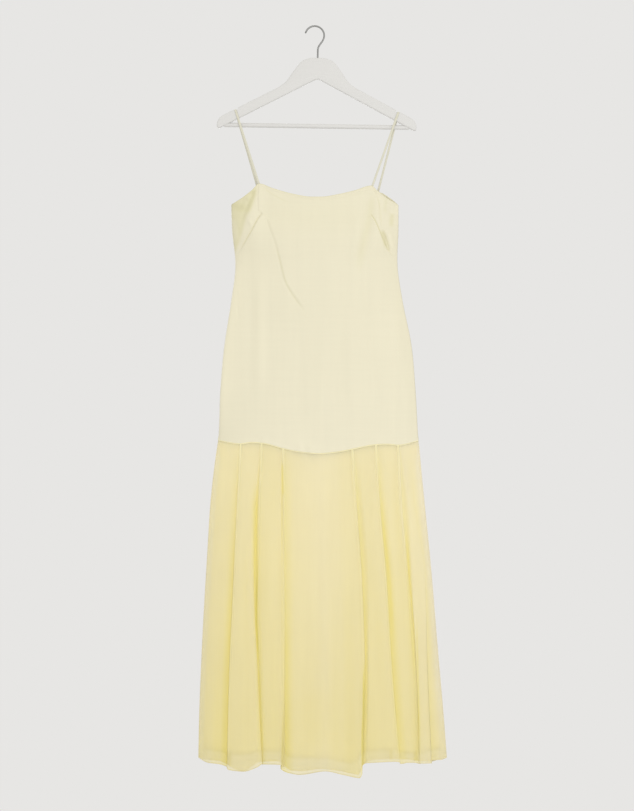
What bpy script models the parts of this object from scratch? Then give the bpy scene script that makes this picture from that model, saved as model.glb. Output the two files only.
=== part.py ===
"""Drop-waist maxi dress, hung by its straps on a white wooden hanger.

Metres, +Z up, the front faces -Y. The origin is the inner top of the hook, where the
hanger is held. Left and right are as seen from the front.
"""

import math
from collections import namedtuple

import bmesh
import bpy
import numpy as np

MM = 0.001

# Cloth
WALL = 1.4 * MM
SEAM_GAP = 0.3 * MM
FLATNESS = 2.4  # power of the rings' rounded outline: 2 is an ellipse, more is flatter
SIDE_FADE = 8  # folds and creases die out at the side seams, faster with a higher power
LINING_START = 3 * MM  # below the drop-waist seam
LINING_INSET_TOP = WALL + 0.95 * MM
LINING_INSET = 11 * MM
LINING_FREE = 0.1  # share of the skirt's length where the lining has its full inset
MID = 0.36  # share of the skirt's length at the middle columns of the fold tables
STATION_PITCH = 14 * MM

# Hanger, in its own level frame
TILT = math.radians(0.86)
WIRE = 3.8 * MM
HOOK_RADIUS = 21.1 * MM
HOOK_FROM, HOOK_TO = math.radians(-20), math.radians(168)
HANGER_CENTRE = 7.4 * MM
HANGER_HALF = 222.5 * MM
BOARD = 12 * MM
BOARD_ROUNDING = 3 * MM
CROWN_DROP = 69 * MM
APEX_DROP = 115.7 * MM
ARM_SLOPE = math.radians(27.6)
ARM_END_DROP = 228.5 * MM
BAR_DROP = 221.4 * MM
BAR_DIAMETER = 10 * MM
BAR_HALF = 206 * MM
NOTCH_OUT = 181.5 * MM
NOTCH_DROP = 184.5 * MM
NOTCH_RADIUS = 4.8 * MM
SHANK_DEPTH = 22 * MM
SHANK_TOP_DROP = 52 * MM
NECK_PULL = 11 * MM  # how stiffly the wire bends between its shank and the hook's arc
HOOK_STEPS, NECK_STEPS = 15, 8
CUTTER_OVER = 5 * MM
CLEAR = 0.3 * MM
CROWN = (  # the outline's top right of the middle, as x and drop in mm
    (0, 69),
    (20, 70.5),
    (36, 78),
    (53, 99),
    (68, 120.5),
    (86, 135.5),
)
CROWN_STEPS = 12
SHOULDER_RADIUS, TIP_RADIUS, UNDER_RADIUS, APEX_RADIUS = 24 * MM, 3.6 * MM, 6 * MM, 12 * MM

# Straps
STRAP_WIDTH = 5.5 * MM
STRAP = 1.2 * MM
STRAP_LAP = 9 * MM
STRAP_BEND = 1 * MM  # radius of its centre line over the notch's edges
STRAP_OFF_WALL = 0.6 * MM  # the wall's facets bow towards the strap by up to half of this
STRAP_RUNS = (0.25, 0.5, 0.75, 0.94)  # cross-sections between the bodice and the hanger
BEND_STEPS = 8

Section = namedtuple("Section", "drop left right front back")
SECTIONS = (  # the garment's outline and its depth each way, by the drop below the hook
    Section(340, -186.0, 187.0, 14, 14),
    Section(397, -186.5, 187.0, 21, 16),
    Section(450, -185.0, 187.0, 29, 17),
    Section(534, -177.5, 185.0, 22, 16),
    Section(610, -186.5, 196.0, 20, 17),
    Section(710, -202.0, 216.0, 21, 18),
    Section(810, -211.0, 225.0, 22, 20),
    Section(921, -216.0, 231.5, 24, 22),
    Section(977, -226.5, 236.5, 27, 25),
    Section(1043, -231.0, 243.0, 31, 29),
    Section(1177, -240.0, 256.5, 37, 35),
    Section(1411, -253.0, 276.5, 44, 42),
    Section(1544, -258.0, 288.0, 47, 45),
    Section(1650, -260.0, 296.0, 48, 46),
)

Edge = namedtuple("Edge", "x drop")
FRONT_TOP = (
    Edge(-187, 397),
    Edge(-175, 383),
    Edge(-157, 371),
    Edge(-129, 352),
    Edge(-113, 347),
    Edge(-95, 356),
    Edge(-60, 365),
    Edge(-10, 376),
    Edge(35, 376),
    Edge(80, 367),
    Edge(118, 354),
    Edge(131, 358),
    Edge(155, 374),
    Edge(175, 388),
    Edge(187, 398),
)
BACK_TOP = (
    Edge(-187, 397),
    Edge(-160, 380),
    Edge(-126, 360),
    Edge(-95, 372),
    Edge(-50, 386),
    Edge(8, 390),
    Edge(65, 386),
    Edge(115, 376),
    Edge(143, 369),
    Edge(168, 382),
    Edge(187, 398),
)
FRONT_SEAM = (
    Edge(-216, 921),
    Edge(-165.3, 929),
    Edge(-139.7, 926),
    Edge(-114.6, 928),
    Edge(-68.6, 940),
    Edge(-32.9, 947),
    Edge(9.3, 951),
    Edge(51.6, 947),
    Edge(82.7, 941),
    Edge(136.2, 931),
    Edge(160.6, 930),
    Edge(186, 932),
    Edge(231.5, 922),
)
BACK_SEAM = (
    Edge(-216, 921),
    Edge(-165, 926),
    Edge(-115, 928),
    Edge(-68.5, 931),
    Edge(10, 934),
    Edge(82, 931),
    Edge(136.5, 929),
    Edge(186, 928),
    Edge(231.5, 922),
)

# Ridges and troughs down the skirt. x at the seam, the middle and the hem; how far the cloth
# stands out from the plain ring at the middle and the hem; how low the hem hangs there.
Fold = namedtuple("Fold", "panel seam_x mid_x hem_x mid_out hem_out hem_drop")
FRONT_FOLDS = (
    Fold("left_3", -197.5, -213, -229, 3, 5, 1642),
    Fold("left_3", -167.3, -183, -195.5, -4, -6, 1655),
    Fold("left_2", -163.3, -179, -191.5, 3, 5, 1658),
    Fold("left_2", -139.7, -157.5, -160, 6, 9, 1662),
    Fold("left_2", -118.0, -138.5, -123, 5, 5, 1644),
    Fold("left_2", -116.0, -130, -119.5, -6, -6, 1643),
    Fold("left_1", -113.2, -119.5, -115.5, -1, -1, 1642),
    Fold("left_1", -93, -95, -91, 4, 6, 1644),
    Fold("left_1", -70.1, -71.6, -67.2, 5, 8, 1666),
    Fold("centre", -67.1, -67.6, -62.7, -3, -3, 1667),
    Fold("centre", -32.9, -33, -33, -1, -2, 1667),
    Fold("centre", 9.3, 11.5, 14, 2, 5, 1661),
    Fold("centre", 51.6, 56, 58.5, -1, -2, 1667),
    Fold("centre", 79, 101.5, 106.5, 4, 8, 1671),
    Fold("centre", 81.2, 105, 110, -4, -6, 1659),
    Fold("right_1", 84.2, 109, 114.5, 1, 1, 1650),
    Fold("right_1", 111.5, 129.5, 149.5, 4, 8, 1638),
    Fold("right_1", 134.8, 154.4, 186.5, 4, 9, 1642),
    Fold("right_2", 137.6, 158.4, 190.5, -3, -4, 1642),
    Fold("right_2", 160.6, 183, 209.5, -1, -3, 1640),
    Fold("right_2", 184.4, 204.5, 229.5, -4, -6, 1638),
    Fold("right_3", 187.6, 208.5, 233.5, 2, 4, 1642),
    Fold("right_3", 198.5, 223, 245, 4, 8, 1647),
    Fold("right_3", 208.5, 236, 257, 2, 4, 1639),
    Fold("right_3", 213, 242, 262, -2, -5, 1637),
    Fold("right_3", 223, 249.5, 278.5, 0, 0, 1633),
)
BACK_FOLDS = (
    Fold("left_3", -197, -212, -228, 3, 6, 1640),
    Fold("left_3", -167, -182, -196, -3, -5, 1644),
    Fold("left_2", -163, -178, -191, 3, 5, 1660),
    Fold("left_2", -139, -152, -160, 6, 9, 1672),
    Fold("left_2", -117, -128, -133, 4, 5, 1655),
    Fold("left_1", -113, -123, -127, -3, -4, 1650),
    Fold("left_1", -92, -98, -101, 0, 2, 1648),
    Fold("left_1", -70, -75, -77, 5, 8, 1650),
    Fold("centre", -67, -71, -72, -3, -4, 1652),
    Fold("centre", -25, -27, -28, 2, 5, 1655),
    Fold("centre", 10, 11, 12, -2, -4, 1652),
    Fold("centre", 48, 52, 55, 3, 6, 1655),
    Fold("centre", 80, 90, 96, 5, 8, 1650),
    Fold("right_1", 84, 95, 102, -3, -4, 1648),
    Fold("right_1", 110, 124, 136, 2, 3, 1642),
    Fold("right_1", 135, 150, 168, 5, 8, 1640),
    Fold("right_2", 138, 154, 173, -3, -5, 1640),
    Fold("right_2", 160, 178, 202, 3, 5, 1646),
    Fold("right_2", 184, 202, 228, 4, 6, 1640),
    Fold("right_3", 188, 207, 233, -3, -4, 1638),
    Fold("right_3", 208, 230, 256, 4, 6, 1636),
    Fold("right_3", 222, 248, 278, 0, 0, 1632),
)
LINING_HEM = (
    Edge(-260, 1600),
    Edge(-90, 1611),
    Edge(-45, 1628),
    Edge(12, 1614),
    Edge(75, 1629),
    Edge(115, 1612),
    Edge(190, 1609),
    Edge(296, 1600),
)
SIDE_HEM = {"left": 1629, "right": 1631}
SKIRT_ROWS = (0, 0.03, 0.07, 0.12, 0.2, 0.3, 0.4, 0.52, 0.64, 0.76, 0.87, 0.95, 1)
LINING_ROWS = (0, 0.04, 0.1, 0.25, 0.45, 0.7, 1)
LINING_COLUMNS = 24
SIDE_STEPS = 5  # columns from a side seam to the first fold, closer at the seam

# Soft folds in the bodice's front. Each runs down a line of x and drop, standing out (+) or
# in (-) from the plain ring, and fades at both ends and over its width to each side.
Crease = namedtuple("Crease", "top_x top bend_x bend low_x low out width")
BODICE_CREASES = (
    Crease(-117, 405, -150, 462, -176, 545, 4.5, 13),
    Crease(-134, 398, -172, 462, -187, 530, -5, 16),
    Crease(128, 405, 150, 462, 186, 548, 4.5, 13),
    Crease(146, 398, 172, 462, 192, 520, -5, 16),
    Crease(-112, 412, -72, 530, -22, 640, -2.5, 13),
    Crease(127, 365, 116, 455, 96, 560, -3, 16),
)
Swell = namedtuple("Swell", "x drop out across down")
BUST = (
    Swell(-72, 446, 6, 52, 46),
    Swell(76, 446, 6, 52, 46),
)
FRONT_ROWS, BACK_ROWS = 22, 12
BETWEEN = 2  # columns between two points of the drop-waist seam
SIDE_SHARES = (0.12, 0.4)  # columns more in the first and last of these spaces
CREASE_FADE = 0.3  # share of a crease's length over which it fades at each end

StrapLine = namedtuple("StrapLine", "side front_x front_top back_x back_top")
STRAPS = (
    StrapLine("left", -125, 350, -127, 361),
    StrapLine("right", 128, 357, 141, 369),
)


def clear_scene():
    for ob in list(bpy.data.objects):
        bpy.data.objects.remove(ob, do_unlink=True)


def collection(name):
    made = bpy.data.collections.new(name)
    bpy.context.scene.collection.children.link(made)
    return made


def linear(channel):
    """One sRGB channel of 0 to 255 as a linear value."""
    c = channel / 255
    return c / 12.92 if c <= 0.04045 else ((c + 0.055) / 1.055) ** 2.4


def material(name, colour, roughness, metallic=0.0):
    made = bpy.data.materials.new(name)
    made.use_nodes = True
    shader = made.node_tree.nodes["Principled BSDF"]
    shader.inputs["Base Color"].default_value = (*[linear(c) for c in colour], 1)
    shader.inputs["Roughness"].default_value = roughness
    shader.inputs["Metallic"].default_value = metallic
    return made


def mesh_object(name, points, faces, stuff, group):
    mesh = bpy.data.meshes.new(name)
    mesh.from_pydata([tuple(p) for p in points], [], faces)
    mesh.materials.append(stuff)
    mesh.shade_smooth()
    mesh.set_sharp_from_angle(angle=math.radians(40))
    ob = bpy.data.objects.new(name, mesh)
    group.objects.link(ob)
    return ob


def smooth_at(knots, values, at):
    """A smooth curve through the values at the knots, read at one place or many."""
    knots, values = np.asarray(knots, float), np.asarray(values, float)
    slopes = np.gradient(values, knots)
    at = np.clip(at, knots[0], knots[-1])
    i = np.clip(np.searchsorted(knots, at) - 1, 0, len(knots) - 2)
    step = knots[i + 1] - knots[i]
    t = (at - knots[i]) / step
    return (
        (2 * t**3 - 3 * t**2 + 1) * values[i]
        + (t**3 - 2 * t**2 + t) * step * slopes[i]
        + (3 * t**2 - 2 * t**3) * values[i + 1]
        + (t**3 - t**2) * step * slopes[i + 1]
    )


def ease(share):
    share = np.clip(share, 0, 1)
    return share * share * (3 - 2 * share)


def column(table, name):
    return [getattr(row, name) for row in table]


def outline_at(drop):
    """The ring's left, right, front depth and back depth, in mm, at a drop in mm."""
    drops = column(SECTIONS, "drop")
    return [smooth_at(drops, column(SECTIONS, n), drop) for n in Section._fields[1:]]


def ring_point(x, drop, out, is_front, inset=0.0):
    """A point of the garment's ring, in metres: out stands off the plain ring."""
    left, right, front, back = outline_at(drop)
    half = (right - left) / 2 - inset
    across = np.clip((x - (left + right) / 2) / half, -1, 1)
    depth = (front if is_front else back) - inset
    plain = depth * (1 - abs(across) ** FLATNESS) ** (1 / FLATNESS)
    deep = plain + out * (1 - abs(across) ** SIDE_FADE)
    x = (left + right) / 2 + across * half
    return np.array([x, -deep if is_front else deep, -drop]) * MM


def edge_drop(edge, x):
    """The drop of a straight-sided edge line at x."""
    return np.interp(x, column(edge, "x"), column(edge, "drop"))


def ring_normals(ring):
    """Level normals of a closed ring of points that runs clockwise as seen from above."""
    along = np.roll(ring, -1, axis=0) - np.roll(ring, 1, axis=0)
    normals = np.column_stack([along[:, 1], -along[:, 0], np.zeros(len(ring))])
    return normals / np.linalg.norm(normals, axis=1, keepdims=True)


def wall_panel(name, grid, normals, stuff, group):
    """A closed wall on a grid of rows and columns, with half the wall on each side. Its two
    side edges stand back by half the seam gap. Neighbours share their normals at a seam."""
    grid = grid.copy()
    for edge, inner in ((0, 1), (-1, -2)):
        along = grid[:, inner] - grid[:, edge]
        along /= np.linalg.norm(along, axis=1, keepdims=True)
        grid[:, edge] += along * SEAM_GAP / 2
    rows, columns = grid.shape[:2]
    outer = (grid + normals * WALL / 2).reshape(-1, 3)
    inner = (grid - normals * WALL / 2).reshape(-1, 3)
    size = rows * columns
    faces = []
    for r in range(rows - 1):
        for c in range(columns - 1):
            a, b = r * columns + c, (r + 1) * columns + c
            faces.append((a, b, b + 1, a + 1))
            faces.append((size + a, size + a + 1, size + b + 1, size + b))
    rim = list(range(columns))
    rim += [(r + 1) * columns - 1 for r in range(1, rows)]
    rim += [(rows - 1) * columns + c for c in range(columns - 2, -1, -1)]
    rim += [r * columns for r in range(rows - 2, 0, -1)]
    for a, b in zip(rim, rim[1:] + rim[:1]):
        faces.append((a, b, size + b, size + a))
    return mesh_object(name, np.vstack([outer, inner]), faces, stuff, group)


def skirt_stations(folds):
    """Where the skirt's columns stand: (fold before, share of the way to the next), with
    -1 and the last fold for the two side seams, and the panels as column ranges."""
    last = len(folds) - 1
    turns = [1 - math.cos(i * math.pi / 2 / SIDE_STEPS) for i in range(SIDE_STEPS)]
    stations = [(-1, t) for t in turns]
    starts, names = [0], [folds[0].panel]
    for i in range(last):
        here, there = folds[i], folds[i + 1]
        if here.panel != there.panel:
            stations += [(i, 0.0), (i, 0.5)]
            starts.append(len(stations) - 1)
            names.append(there.panel)
            continue
        width = (there.hem_x + there.mid_x - here.hem_x - here.mid_x) / 2 * MM
        steps = max(1, round(width / STATION_PITCH))
        stations += [(i, s / steps) for s in range(steps)]
    stations += [(last, 1 - t) for t in [1.0] + turns[:0:-1]] + [(last, 1.0)]
    ranges = list(zip(names, starts, starts[1:] + [len(stations) - 1]))
    return stations, ranges


def fold_at(folds, station, row, side_x, side_hem):
    """x, stand-off and hem drop, in mm, of one column at one row's share of the length."""
    def one(fold):
        x = smooth_at((0, MID, 1), (fold.seam_x, fold.mid_x, fold.hem_x), row)
        out = smooth_at((0, MID, 1), (0, fold.mid_out, fold.hem_out), row)
        return np.array([x, out, fold.hem_drop])

    before, share = station
    if before == -1:
        first, second = np.array([side_x[0], 0, side_hem[0]]), one(folds[0])
    elif before == len(folds) - 1:
        first, second = one(folds[-1]), np.array([side_x[1], 0, side_hem[1]])
    else:
        first, second = one(folds[before]), one(folds[before + 1])
    found = first + (second - first) * share
    found[1] = first[1] + (second[1] - first[1]) * ease(share)
    return found


def skirt_half(folds, seam, is_front):
    """The grid of one half of the skirt, side seam to side seam."""
    stations, ranges = skirt_stations(folds)
    ends = (column(seam, "x")[0], column(seam, "x")[-1])
    side_hem = (SIDE_HEM["left"], SIDE_HEM["right"])
    grid = []
    for row in SKIRT_ROWS:
        line = []
        for station in stations:
            top_x = fold_at(folds, station, 0, ends, side_hem)[0]
            top = edge_drop(seam, top_x) + SEAM_GAP / MM
            hem = fold_at(folds, station, row, ends, side_hem)[2]
            drop = top + (hem - top) * row
            left, right = outline_at(drop)[:2]
            x, out, _ = fold_at(folds, station, row, (left, right), side_hem)
            line.append(ring_point(x, drop, out, is_front))
        grid.append(line)
    return np.array(grid), ranges


def make_skirt(stuff, group):
    """Fourteen panels. The two halves make closed rings, whose normals the panels share."""
    front, front_ranges = skirt_half(FRONT_FOLDS, FRONT_SEAM, True)
    back, back_ranges = skirt_half(BACK_FOLDS, BACK_SEAM, False)
    wide = front.shape[1]
    rings = np.concatenate([front, back[:, -2:0:-1]], axis=1)
    normals = np.array([ring_normals(ring) for ring in rings])
    front_normals = normals[:, :wide]
    back_normals = np.concatenate(
        [normals[:, :1], normals[:, :wide - 1:-1], normals[:, wide - 1:wide]], axis=1
    )
    for name, start, end in front_ranges:
        part = slice(start, end + 1)
        wall_panel(f"skirt_front_{name}", front[:, part], front_normals[:, part], stuff, group)
    for name, start, end in back_ranges:
        part = slice(start, end + 1)
        flipped = back[:, part][:, ::-1], back_normals[:, part][:, ::-1]
        wall_panel(f"skirt_back_{name}", *flipped, stuff, group)


def lining_half(seam, is_front):
    hem_left, hem_right = LINING_HEM[0].x, LINING_HEM[-1].x
    grid = []
    for row in LINING_ROWS:
        inset = LINING_INSET_TOP + (LINING_INSET - LINING_INSET_TOP) * ease(row / LINING_FREE)
        line = []
        for c in range(LINING_COLUMNS + 1):
            across = -math.cos(math.pi * c / LINING_COLUMNS)
            left, right = outline_at(edge_drop(seam, 0))[:2]
            top_x = (left + right) / 2 + across * (right - left) / 2
            top = edge_drop(seam, top_x) + LINING_START / MM
            low_x = (hem_left + hem_right) / 2 + across * (hem_right - hem_left) / 2
            low = edge_drop(LINING_HEM, low_x)
            drop = top + (low - top) * row
            left, right = outline_at(drop)[:2]
            x = (left + right) / 2 + across * ((right - left) / 2 - inset / MM)
            line.append(ring_point(x, drop, 0, is_front, inset / MM))
        grid.append(line)
    return np.array(grid)


def make_lining(stuff, group):
    front = lining_half(FRONT_SEAM, True)
    back = lining_half(BACK_SEAM, False)
    wide = front.shape[1]
    rings = np.concatenate([front, back[:, -2:0:-1]], axis=1)
    normals = np.array([ring_normals(ring) for ring in rings])
    back_normals = np.concatenate([normals[:, wide - 1:], normals[:, :1]], axis=1)
    wall_panel("skirt_lining_front", front, normals[:, :wide], stuff, group)
    wall_panel("skirt_lining_back", back[:, ::-1], back_normals, stuff, group)


def crease_out(x, drop, crease):
    """How far a soft fold moves the cloth at x and drop."""
    line = smooth_at(
        (crease.top, crease.bend, crease.low),
        (crease.top_x, crease.bend_x, crease.low_x),
        drop,
    )
    share = (drop - crease.top) / (crease.low - crease.top)
    if not 0 < share < 1:
        return 0.0
    fade = ease(share / CREASE_FADE) * ease((1 - share) / CREASE_FADE)
    return crease.out * fade * math.exp(-(((x - line) / crease.width) ** 2))


def bodice_out(x, drop):
    out = sum(crease_out(x, drop, crease) for crease in BODICE_CREASES)
    for swell in BUST:
        far = ((x - swell.x) / swell.across) ** 2 + ((drop - swell.drop) / swell.down) ** 2
        out += swell.out * math.exp(-far)
    return out


def bodice_point(x, drop, is_front):
    return ring_point(x, drop, bodice_out(x, drop) if is_front else 0.0, is_front)


def bodice_columns(seam):
    """Columns at the seam's own points and between them, closer at the two sides."""
    xs = column(seam, "x")
    found = []
    for a, b in zip(xs, xs[1:]):
        found += [a + (b - a) * i / (BETWEEN + 1) for i in range(BETWEEN + 1)]
    found.append(xs[-1])
    near = [found[0] + (found[1] - found[0]) * s for s in SIDE_SHARES]
    far = [found[-1] + (found[-2] - found[-1]) * s for s in SIDE_SHARES[::-1]]
    return found[:1] + near + found[1:-1] + far + found[-1:]


def bodice_half(top, seam, rows, is_front):
    grid = []
    columns = bodice_columns(seam)
    for r in range(rows + 1):
        row = r / rows
        line = []
        for seam_x in columns:
            low = edge_drop(seam, seam_x)
            left, right = outline_at(low)[:2]
            across = (seam_x - (left + right) / 2) / ((right - left) / 2)
            left, right = outline_at(top[0].drop)[:2]
            top_x = (left + right) / 2 + across * (right - left) / 2
            high = edge_drop(top, top_x)
            drop = high + (low - high) * row
            left, right = outline_at(drop)[:2]
            x = (left + right) / 2 + across * (right - left) / 2
            line.append(bodice_point(x, drop, is_front))
        grid.append(line)
    return np.array(grid)


def half_normals(grid):
    """Level normals of a half ring whose ends lie at the side seams, facing outwards."""
    along = np.gradient(grid, axis=1)
    along[:, 0] = along[:, -1] = (0, -1, 0)
    along[:, -1] *= -1
    normals = np.stack([along[..., 1], -along[..., 0], 0 * along[..., 0]], axis=-1)
    return normals / np.linalg.norm(normals, axis=-1, keepdims=True)


def make_bodice(stuff, group):
    front = bodice_half(FRONT_TOP, FRONT_SEAM, FRONT_ROWS, True)
    wall_panel("bodice_front", front, half_normals(front), stuff, group)
    back = bodice_half(BACK_TOP, BACK_SEAM, BACK_ROWS, False)
    mirrored = half_normals(back * (1, -1, 1)) * (1, -1, 1)
    wall_panel("bodice_back", back[:, ::-1], mirrored[:, ::-1], stuff, group)


def tilted(x, z):
    """A point of the level hanger, in its place on the tilted one."""
    return x * math.cos(TILT) + z * math.sin(TILT), -x * math.sin(TILT) + z * math.cos(TILT)


def strap_end(x, top, is_front):
    """The sewn end of a strap, inside the bodice: two points from below the edge to it."""
    inside = (WALL / 2 + STRAP_OFF_WALL + STRAP / 2) * (1 if is_front else -1)
    ends = []
    for drop in (top + STRAP_LAP / MM, top - 1):
        point = bodice_point(x, drop, is_front)
        ends.append(point + np.array([0, inside, 0]))
    return ends


def strap_path(strap):
    """Centre line of a strap: up the front, over the notch and down the back."""
    side = -1 if strap.side == "left" else 1
    x, z = tilted(HANGER_CENTRE + side * NOTCH_OUT, -NOTCH_DROP)
    lift = NOTCH_RADIUS - math.sqrt(NOTCH_RADIUS**2 - (STRAP_WIDTH / 2 + CLEAR) ** 2)
    floor = z - NOTCH_RADIUS + lift + CLEAR
    reach = BOARD / 2 + CLEAR + STRAP / 2
    arc = []
    for i in range(BEND_STEPS + 1):
        turn = math.pi * i / BEND_STEPS
        flat = (reach - STRAP_BEND) * (-1 if turn <= math.pi / 2 else 1)
        y = flat - STRAP_BEND * math.cos(turn)
        arc.append((x, y, floor + STRAP / 2 - STRAP_BEND * (1 - math.sin(turn))))
    front = strap_end(strap.front_x, strap.front_top, True)
    back = strap_end(strap.back_x, strap.back_top, False)
    up = [front[1] + (np.array(arc[0]) - front[1]) * s for s in STRAP_RUNS]
    down = [back[1] + (np.array(arc[-1]) - back[1]) * s for s in STRAP_RUNS[::-1]]
    return np.array(front + up + arc + down + back[::-1])


def make_straps(stuff, group):
    """Each strap is a ribbon, open as a surface, with its thickness from Solidify."""
    for strap in STRAPS:
        path = strap_path(strap)
        along = np.gradient(path, axis=0)
        outward = np.array([(0, p[1], max(p[2] - path[5][2], 0) * 2) for p in path])
        across = np.cross(along, outward)
        across[:, 1] = 0
        across /= np.linalg.norm(across, axis=1, keepdims=True)
        across[across[:, 0] < 0] *= -1
        points = np.concatenate([path - across * STRAP_WIDTH / 2, path + across * STRAP_WIDTH / 2])
        n = len(path)
        faces = [(i, i + 1, n + i + 1, n + i) for i in range(n - 1)]
        ob = mesh_object(f"strap_{strap.side}", points, faces, stuff, group)
        solid = ob.modifiers.new("Thickness", "SOLIDIFY")
        solid.thickness = STRAP
        solid.offset = 0
        solid.use_even_offset = True


def fillet(before, corner, after, radius, steps):
    """Points of an arc that rounds a corner of an outline."""
    corner = np.array(corner)
    back, on = np.array(before) - corner, np.array(after) - corner
    back, on = back / np.linalg.norm(back), on / np.linalg.norm(on)
    half = math.acos(np.clip(back @ on, -1, 1)) / 2
    middle = (back + on) / np.linalg.norm(back + on)
    centre = corner + middle * radius / math.sin(half)
    start = corner + back * radius / math.tan(half) - centre
    end = corner + on * radius / math.tan(half) - centre
    sweep = math.pi - 2 * half
    found = []
    for i in range(steps + 1):
        t = i / steps
        mix = (math.sin((1 - t) * sweep) * start + math.sin(t * sweep) * end) / math.sin(sweep)
        found.append(tuple(centre + mix))
    return found


def board_outline():
    """The hanger's outline, level, from the middle of the crown round by the right."""
    slope = math.tan(ARM_SLOPE)
    crown_x, crown_z = np.transpose(CROWN) * [[MM], [-MM]]
    steps = np.linspace(0, crown_x[-1], CROWN_STEPS + 1)
    crown = [(x, smooth_at(crown_x, crown_z, x)) for x in steps]
    end_x = (ARM_END_DROP - APEX_DROP) / slope
    corner = (HANGER_HALF, crown_z[-1] - (HANGER_HALF - crown_x[-1]) * slope)
    low = (HANGER_HALF, -ARM_END_DROP)
    turn = (end_x, -ARM_END_DROP)
    apex = (0, -APEX_DROP)
    half = crown
    half += fillet(crown[-1], corner, low, SHOULDER_RADIUS, 7)
    half += fillet(corner, low, turn, TIP_RADIUS, 4)
    half += fillet(low, turn, apex, UNDER_RADIUS, 2)
    left_arm = (-turn[0], turn[1])
    apex_points = fillet(turn, apex, left_arm, APEX_RADIUS, 4)
    mirrored = [(-x, z) for x, z in half[:0:-1]]
    return half + apex_points + mirrored


def curve_object(name, points, group, cyclic=False):
    curve = bpy.data.curves.new(name, "CURVE")
    spline = curve.splines.new("POLY")
    spline.points.add(len(points) - 1)
    for spot, p in zip(spline.points, points):
        spot.co = (*p, 1)
    spline.use_cyclic_u = cyclic
    ob = bpy.data.objects.new(name, curve)
    group.objects.link(ob)
    return ob


def rod(name, points, diameter, stuff, group, rounding=2):
    ob = curve_object(name, points, group)
    ob.data.dimensions = "3D"
    ob.data.bevel_depth = diameter / 2
    ob.data.bevel_resolution = rounding
    ob.data.use_fill_caps = True
    if stuff:
        ob.data.materials.append(stuff)
    return ob


def as_mesh(ob, group):
    """The evaluated curve as a mesh object of the same name, with its caps welded."""
    bpy.context.view_layer.update()
    name = ob.name
    ready = ob.evaluated_get(bpy.context.evaluated_depsgraph_get())
    mesh = bpy.data.meshes.new_from_object(ready)
    work = bmesh_from(mesh)
    work.to_mesh(mesh)
    work.free()
    made = bpy.data.objects.new(name, mesh)
    made.matrix_world = ob.matrix_world.copy()
    bpy.data.objects.remove(ob, do_unlink=True)
    made.name = name
    group.objects.link(made)
    return made


def bmesh_from(mesh):
    work = bmesh.new()
    work.from_mesh(mesh)
    bmesh.ops.remove_doubles(work, verts=work.verts, dist=0.02 * MM)
    bmesh.ops.recalc_face_normals(work, faces=work.faces)
    return work


def cut(body, cutter):
    cutter.hide_render = True
    cutter.display_type = "WIRE"
    boolean = body.modifiers.new(cutter.name, "BOOLEAN")
    boolean.operation = "DIFFERENCE"
    boolean.object = cutter


def make_board(wood, group, cutters):
    """The board, with its bar sockets, the hook's hole and the notches cut out."""
    flat = [(HANGER_CENTRE + x, z, 0) for x, z in board_outline()]
    board = curve_object("hanger_body", flat, group, cyclic=True)
    board.data.dimensions = "2D"
    board.data.fill_mode = "BOTH"
    board.data.extrude = BOARD / 2
    board.data.materials.append(wood)
    board.rotation_euler = (math.pi / 2, 0, 0)
    board = as_mesh(board, group)
    rounding = board.modifiers.new("Rounding", "BEVEL")
    rounding.width = BOARD_ROUNDING
    rounding.segments = 2
    rounding.limit_method = "ANGLE"
    rounding.angle_limit = math.radians(60)

    ends = [(HANGER_CENTRE + s * (BAR_HALF + CLEAR), 0, -BAR_DROP) for s in (-1, 1)]
    socket = rod("bar_sockets", ends, BAR_DIAMETER + 2 * CLEAR, None, cutters, 4)
    cut(board, as_mesh(socket, cutters))
    top = -CROWN_DROP + CUTTER_OVER
    ends = [(HANGER_CENTRE, 0, z) for z in (-CROWN_DROP - SHANK_DEPTH - CLEAR, top)]
    cut(board, as_mesh(rod("shank_hole", ends, WIRE + 2 * CLEAR, None, cutters, 3), cutters))
    for side in (-1, 1):
        across = HANGER_CENTRE + side * NOTCH_OUT
        ends = [(across, y, -NOTCH_DROP) for y in (-BOARD, BOARD)]
        notch = rod("notch", ends, 2 * NOTCH_RADIUS, None, cutters, 4)
        cut(board, as_mesh(notch, cutters))
    return board


def make_hook(steel, group):
    """The wire: its shank in the board, a lean to the right and the open hook."""
    centre_z = WIRE / 2 - HOOK_RADIUS
    arc = []
    for i in range(HOOK_STEPS + 1):
        turn = HOOK_FROM + (HOOK_TO - HOOK_FROM) * i / HOOK_STEPS
        x, z = HOOK_RADIUS * math.cos(turn), centre_z + HOOK_RADIUS * math.sin(turn)
        arc.append((x, 0, z))
    low = np.array([HANGER_CENTRE, 0, -SHANK_TOP_DROP])
    high = np.array(arc[0])
    low_pull = low + np.array([0, 0, NECK_PULL])
    lean = np.array([-math.sin(HOOK_FROM), 0, math.cos(HOOK_FROM)])
    high_pull = high - lean * NECK_PULL
    neck = []
    for i in range(NECK_STEPS):
        t = i / NECK_STEPS
        neck.append(
            (1 - t) ** 3 * low
            + 3 * (1 - t) ** 2 * t * low_pull
            + 3 * (1 - t) * t**2 * high_pull
            + t**3 * high
        )
    foot = (HANGER_CENTRE, 0, -CROWN_DROP - SHANK_DEPTH)
    return rod("hanger_hook", [foot] + [tuple(p) for p in neck] + arc, WIRE, steel, group)


def make_hanger(wood, steel, group, cutters):
    """The wooden board with its bar and hook, on an empty that carries the tilt."""
    tilt = bpy.data.objects.new("hanger_tilt", None)
    tilt.rotation_euler = (0, TILT, 0)
    group.objects.link(tilt)
    board = make_board(wood, group, cutters)
    bar_ends = [(HANGER_CENTRE + s * BAR_HALF, 0, -BAR_DROP) for s in (-1, 1)]
    bar = rod("hanger_bar", bar_ends, BAR_DIAMETER, wood, group, 3)
    hook = make_hook(steel, group)
    for ob in (board, bar, hook, *cutters.objects):
        ob.parent = tilt


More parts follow.
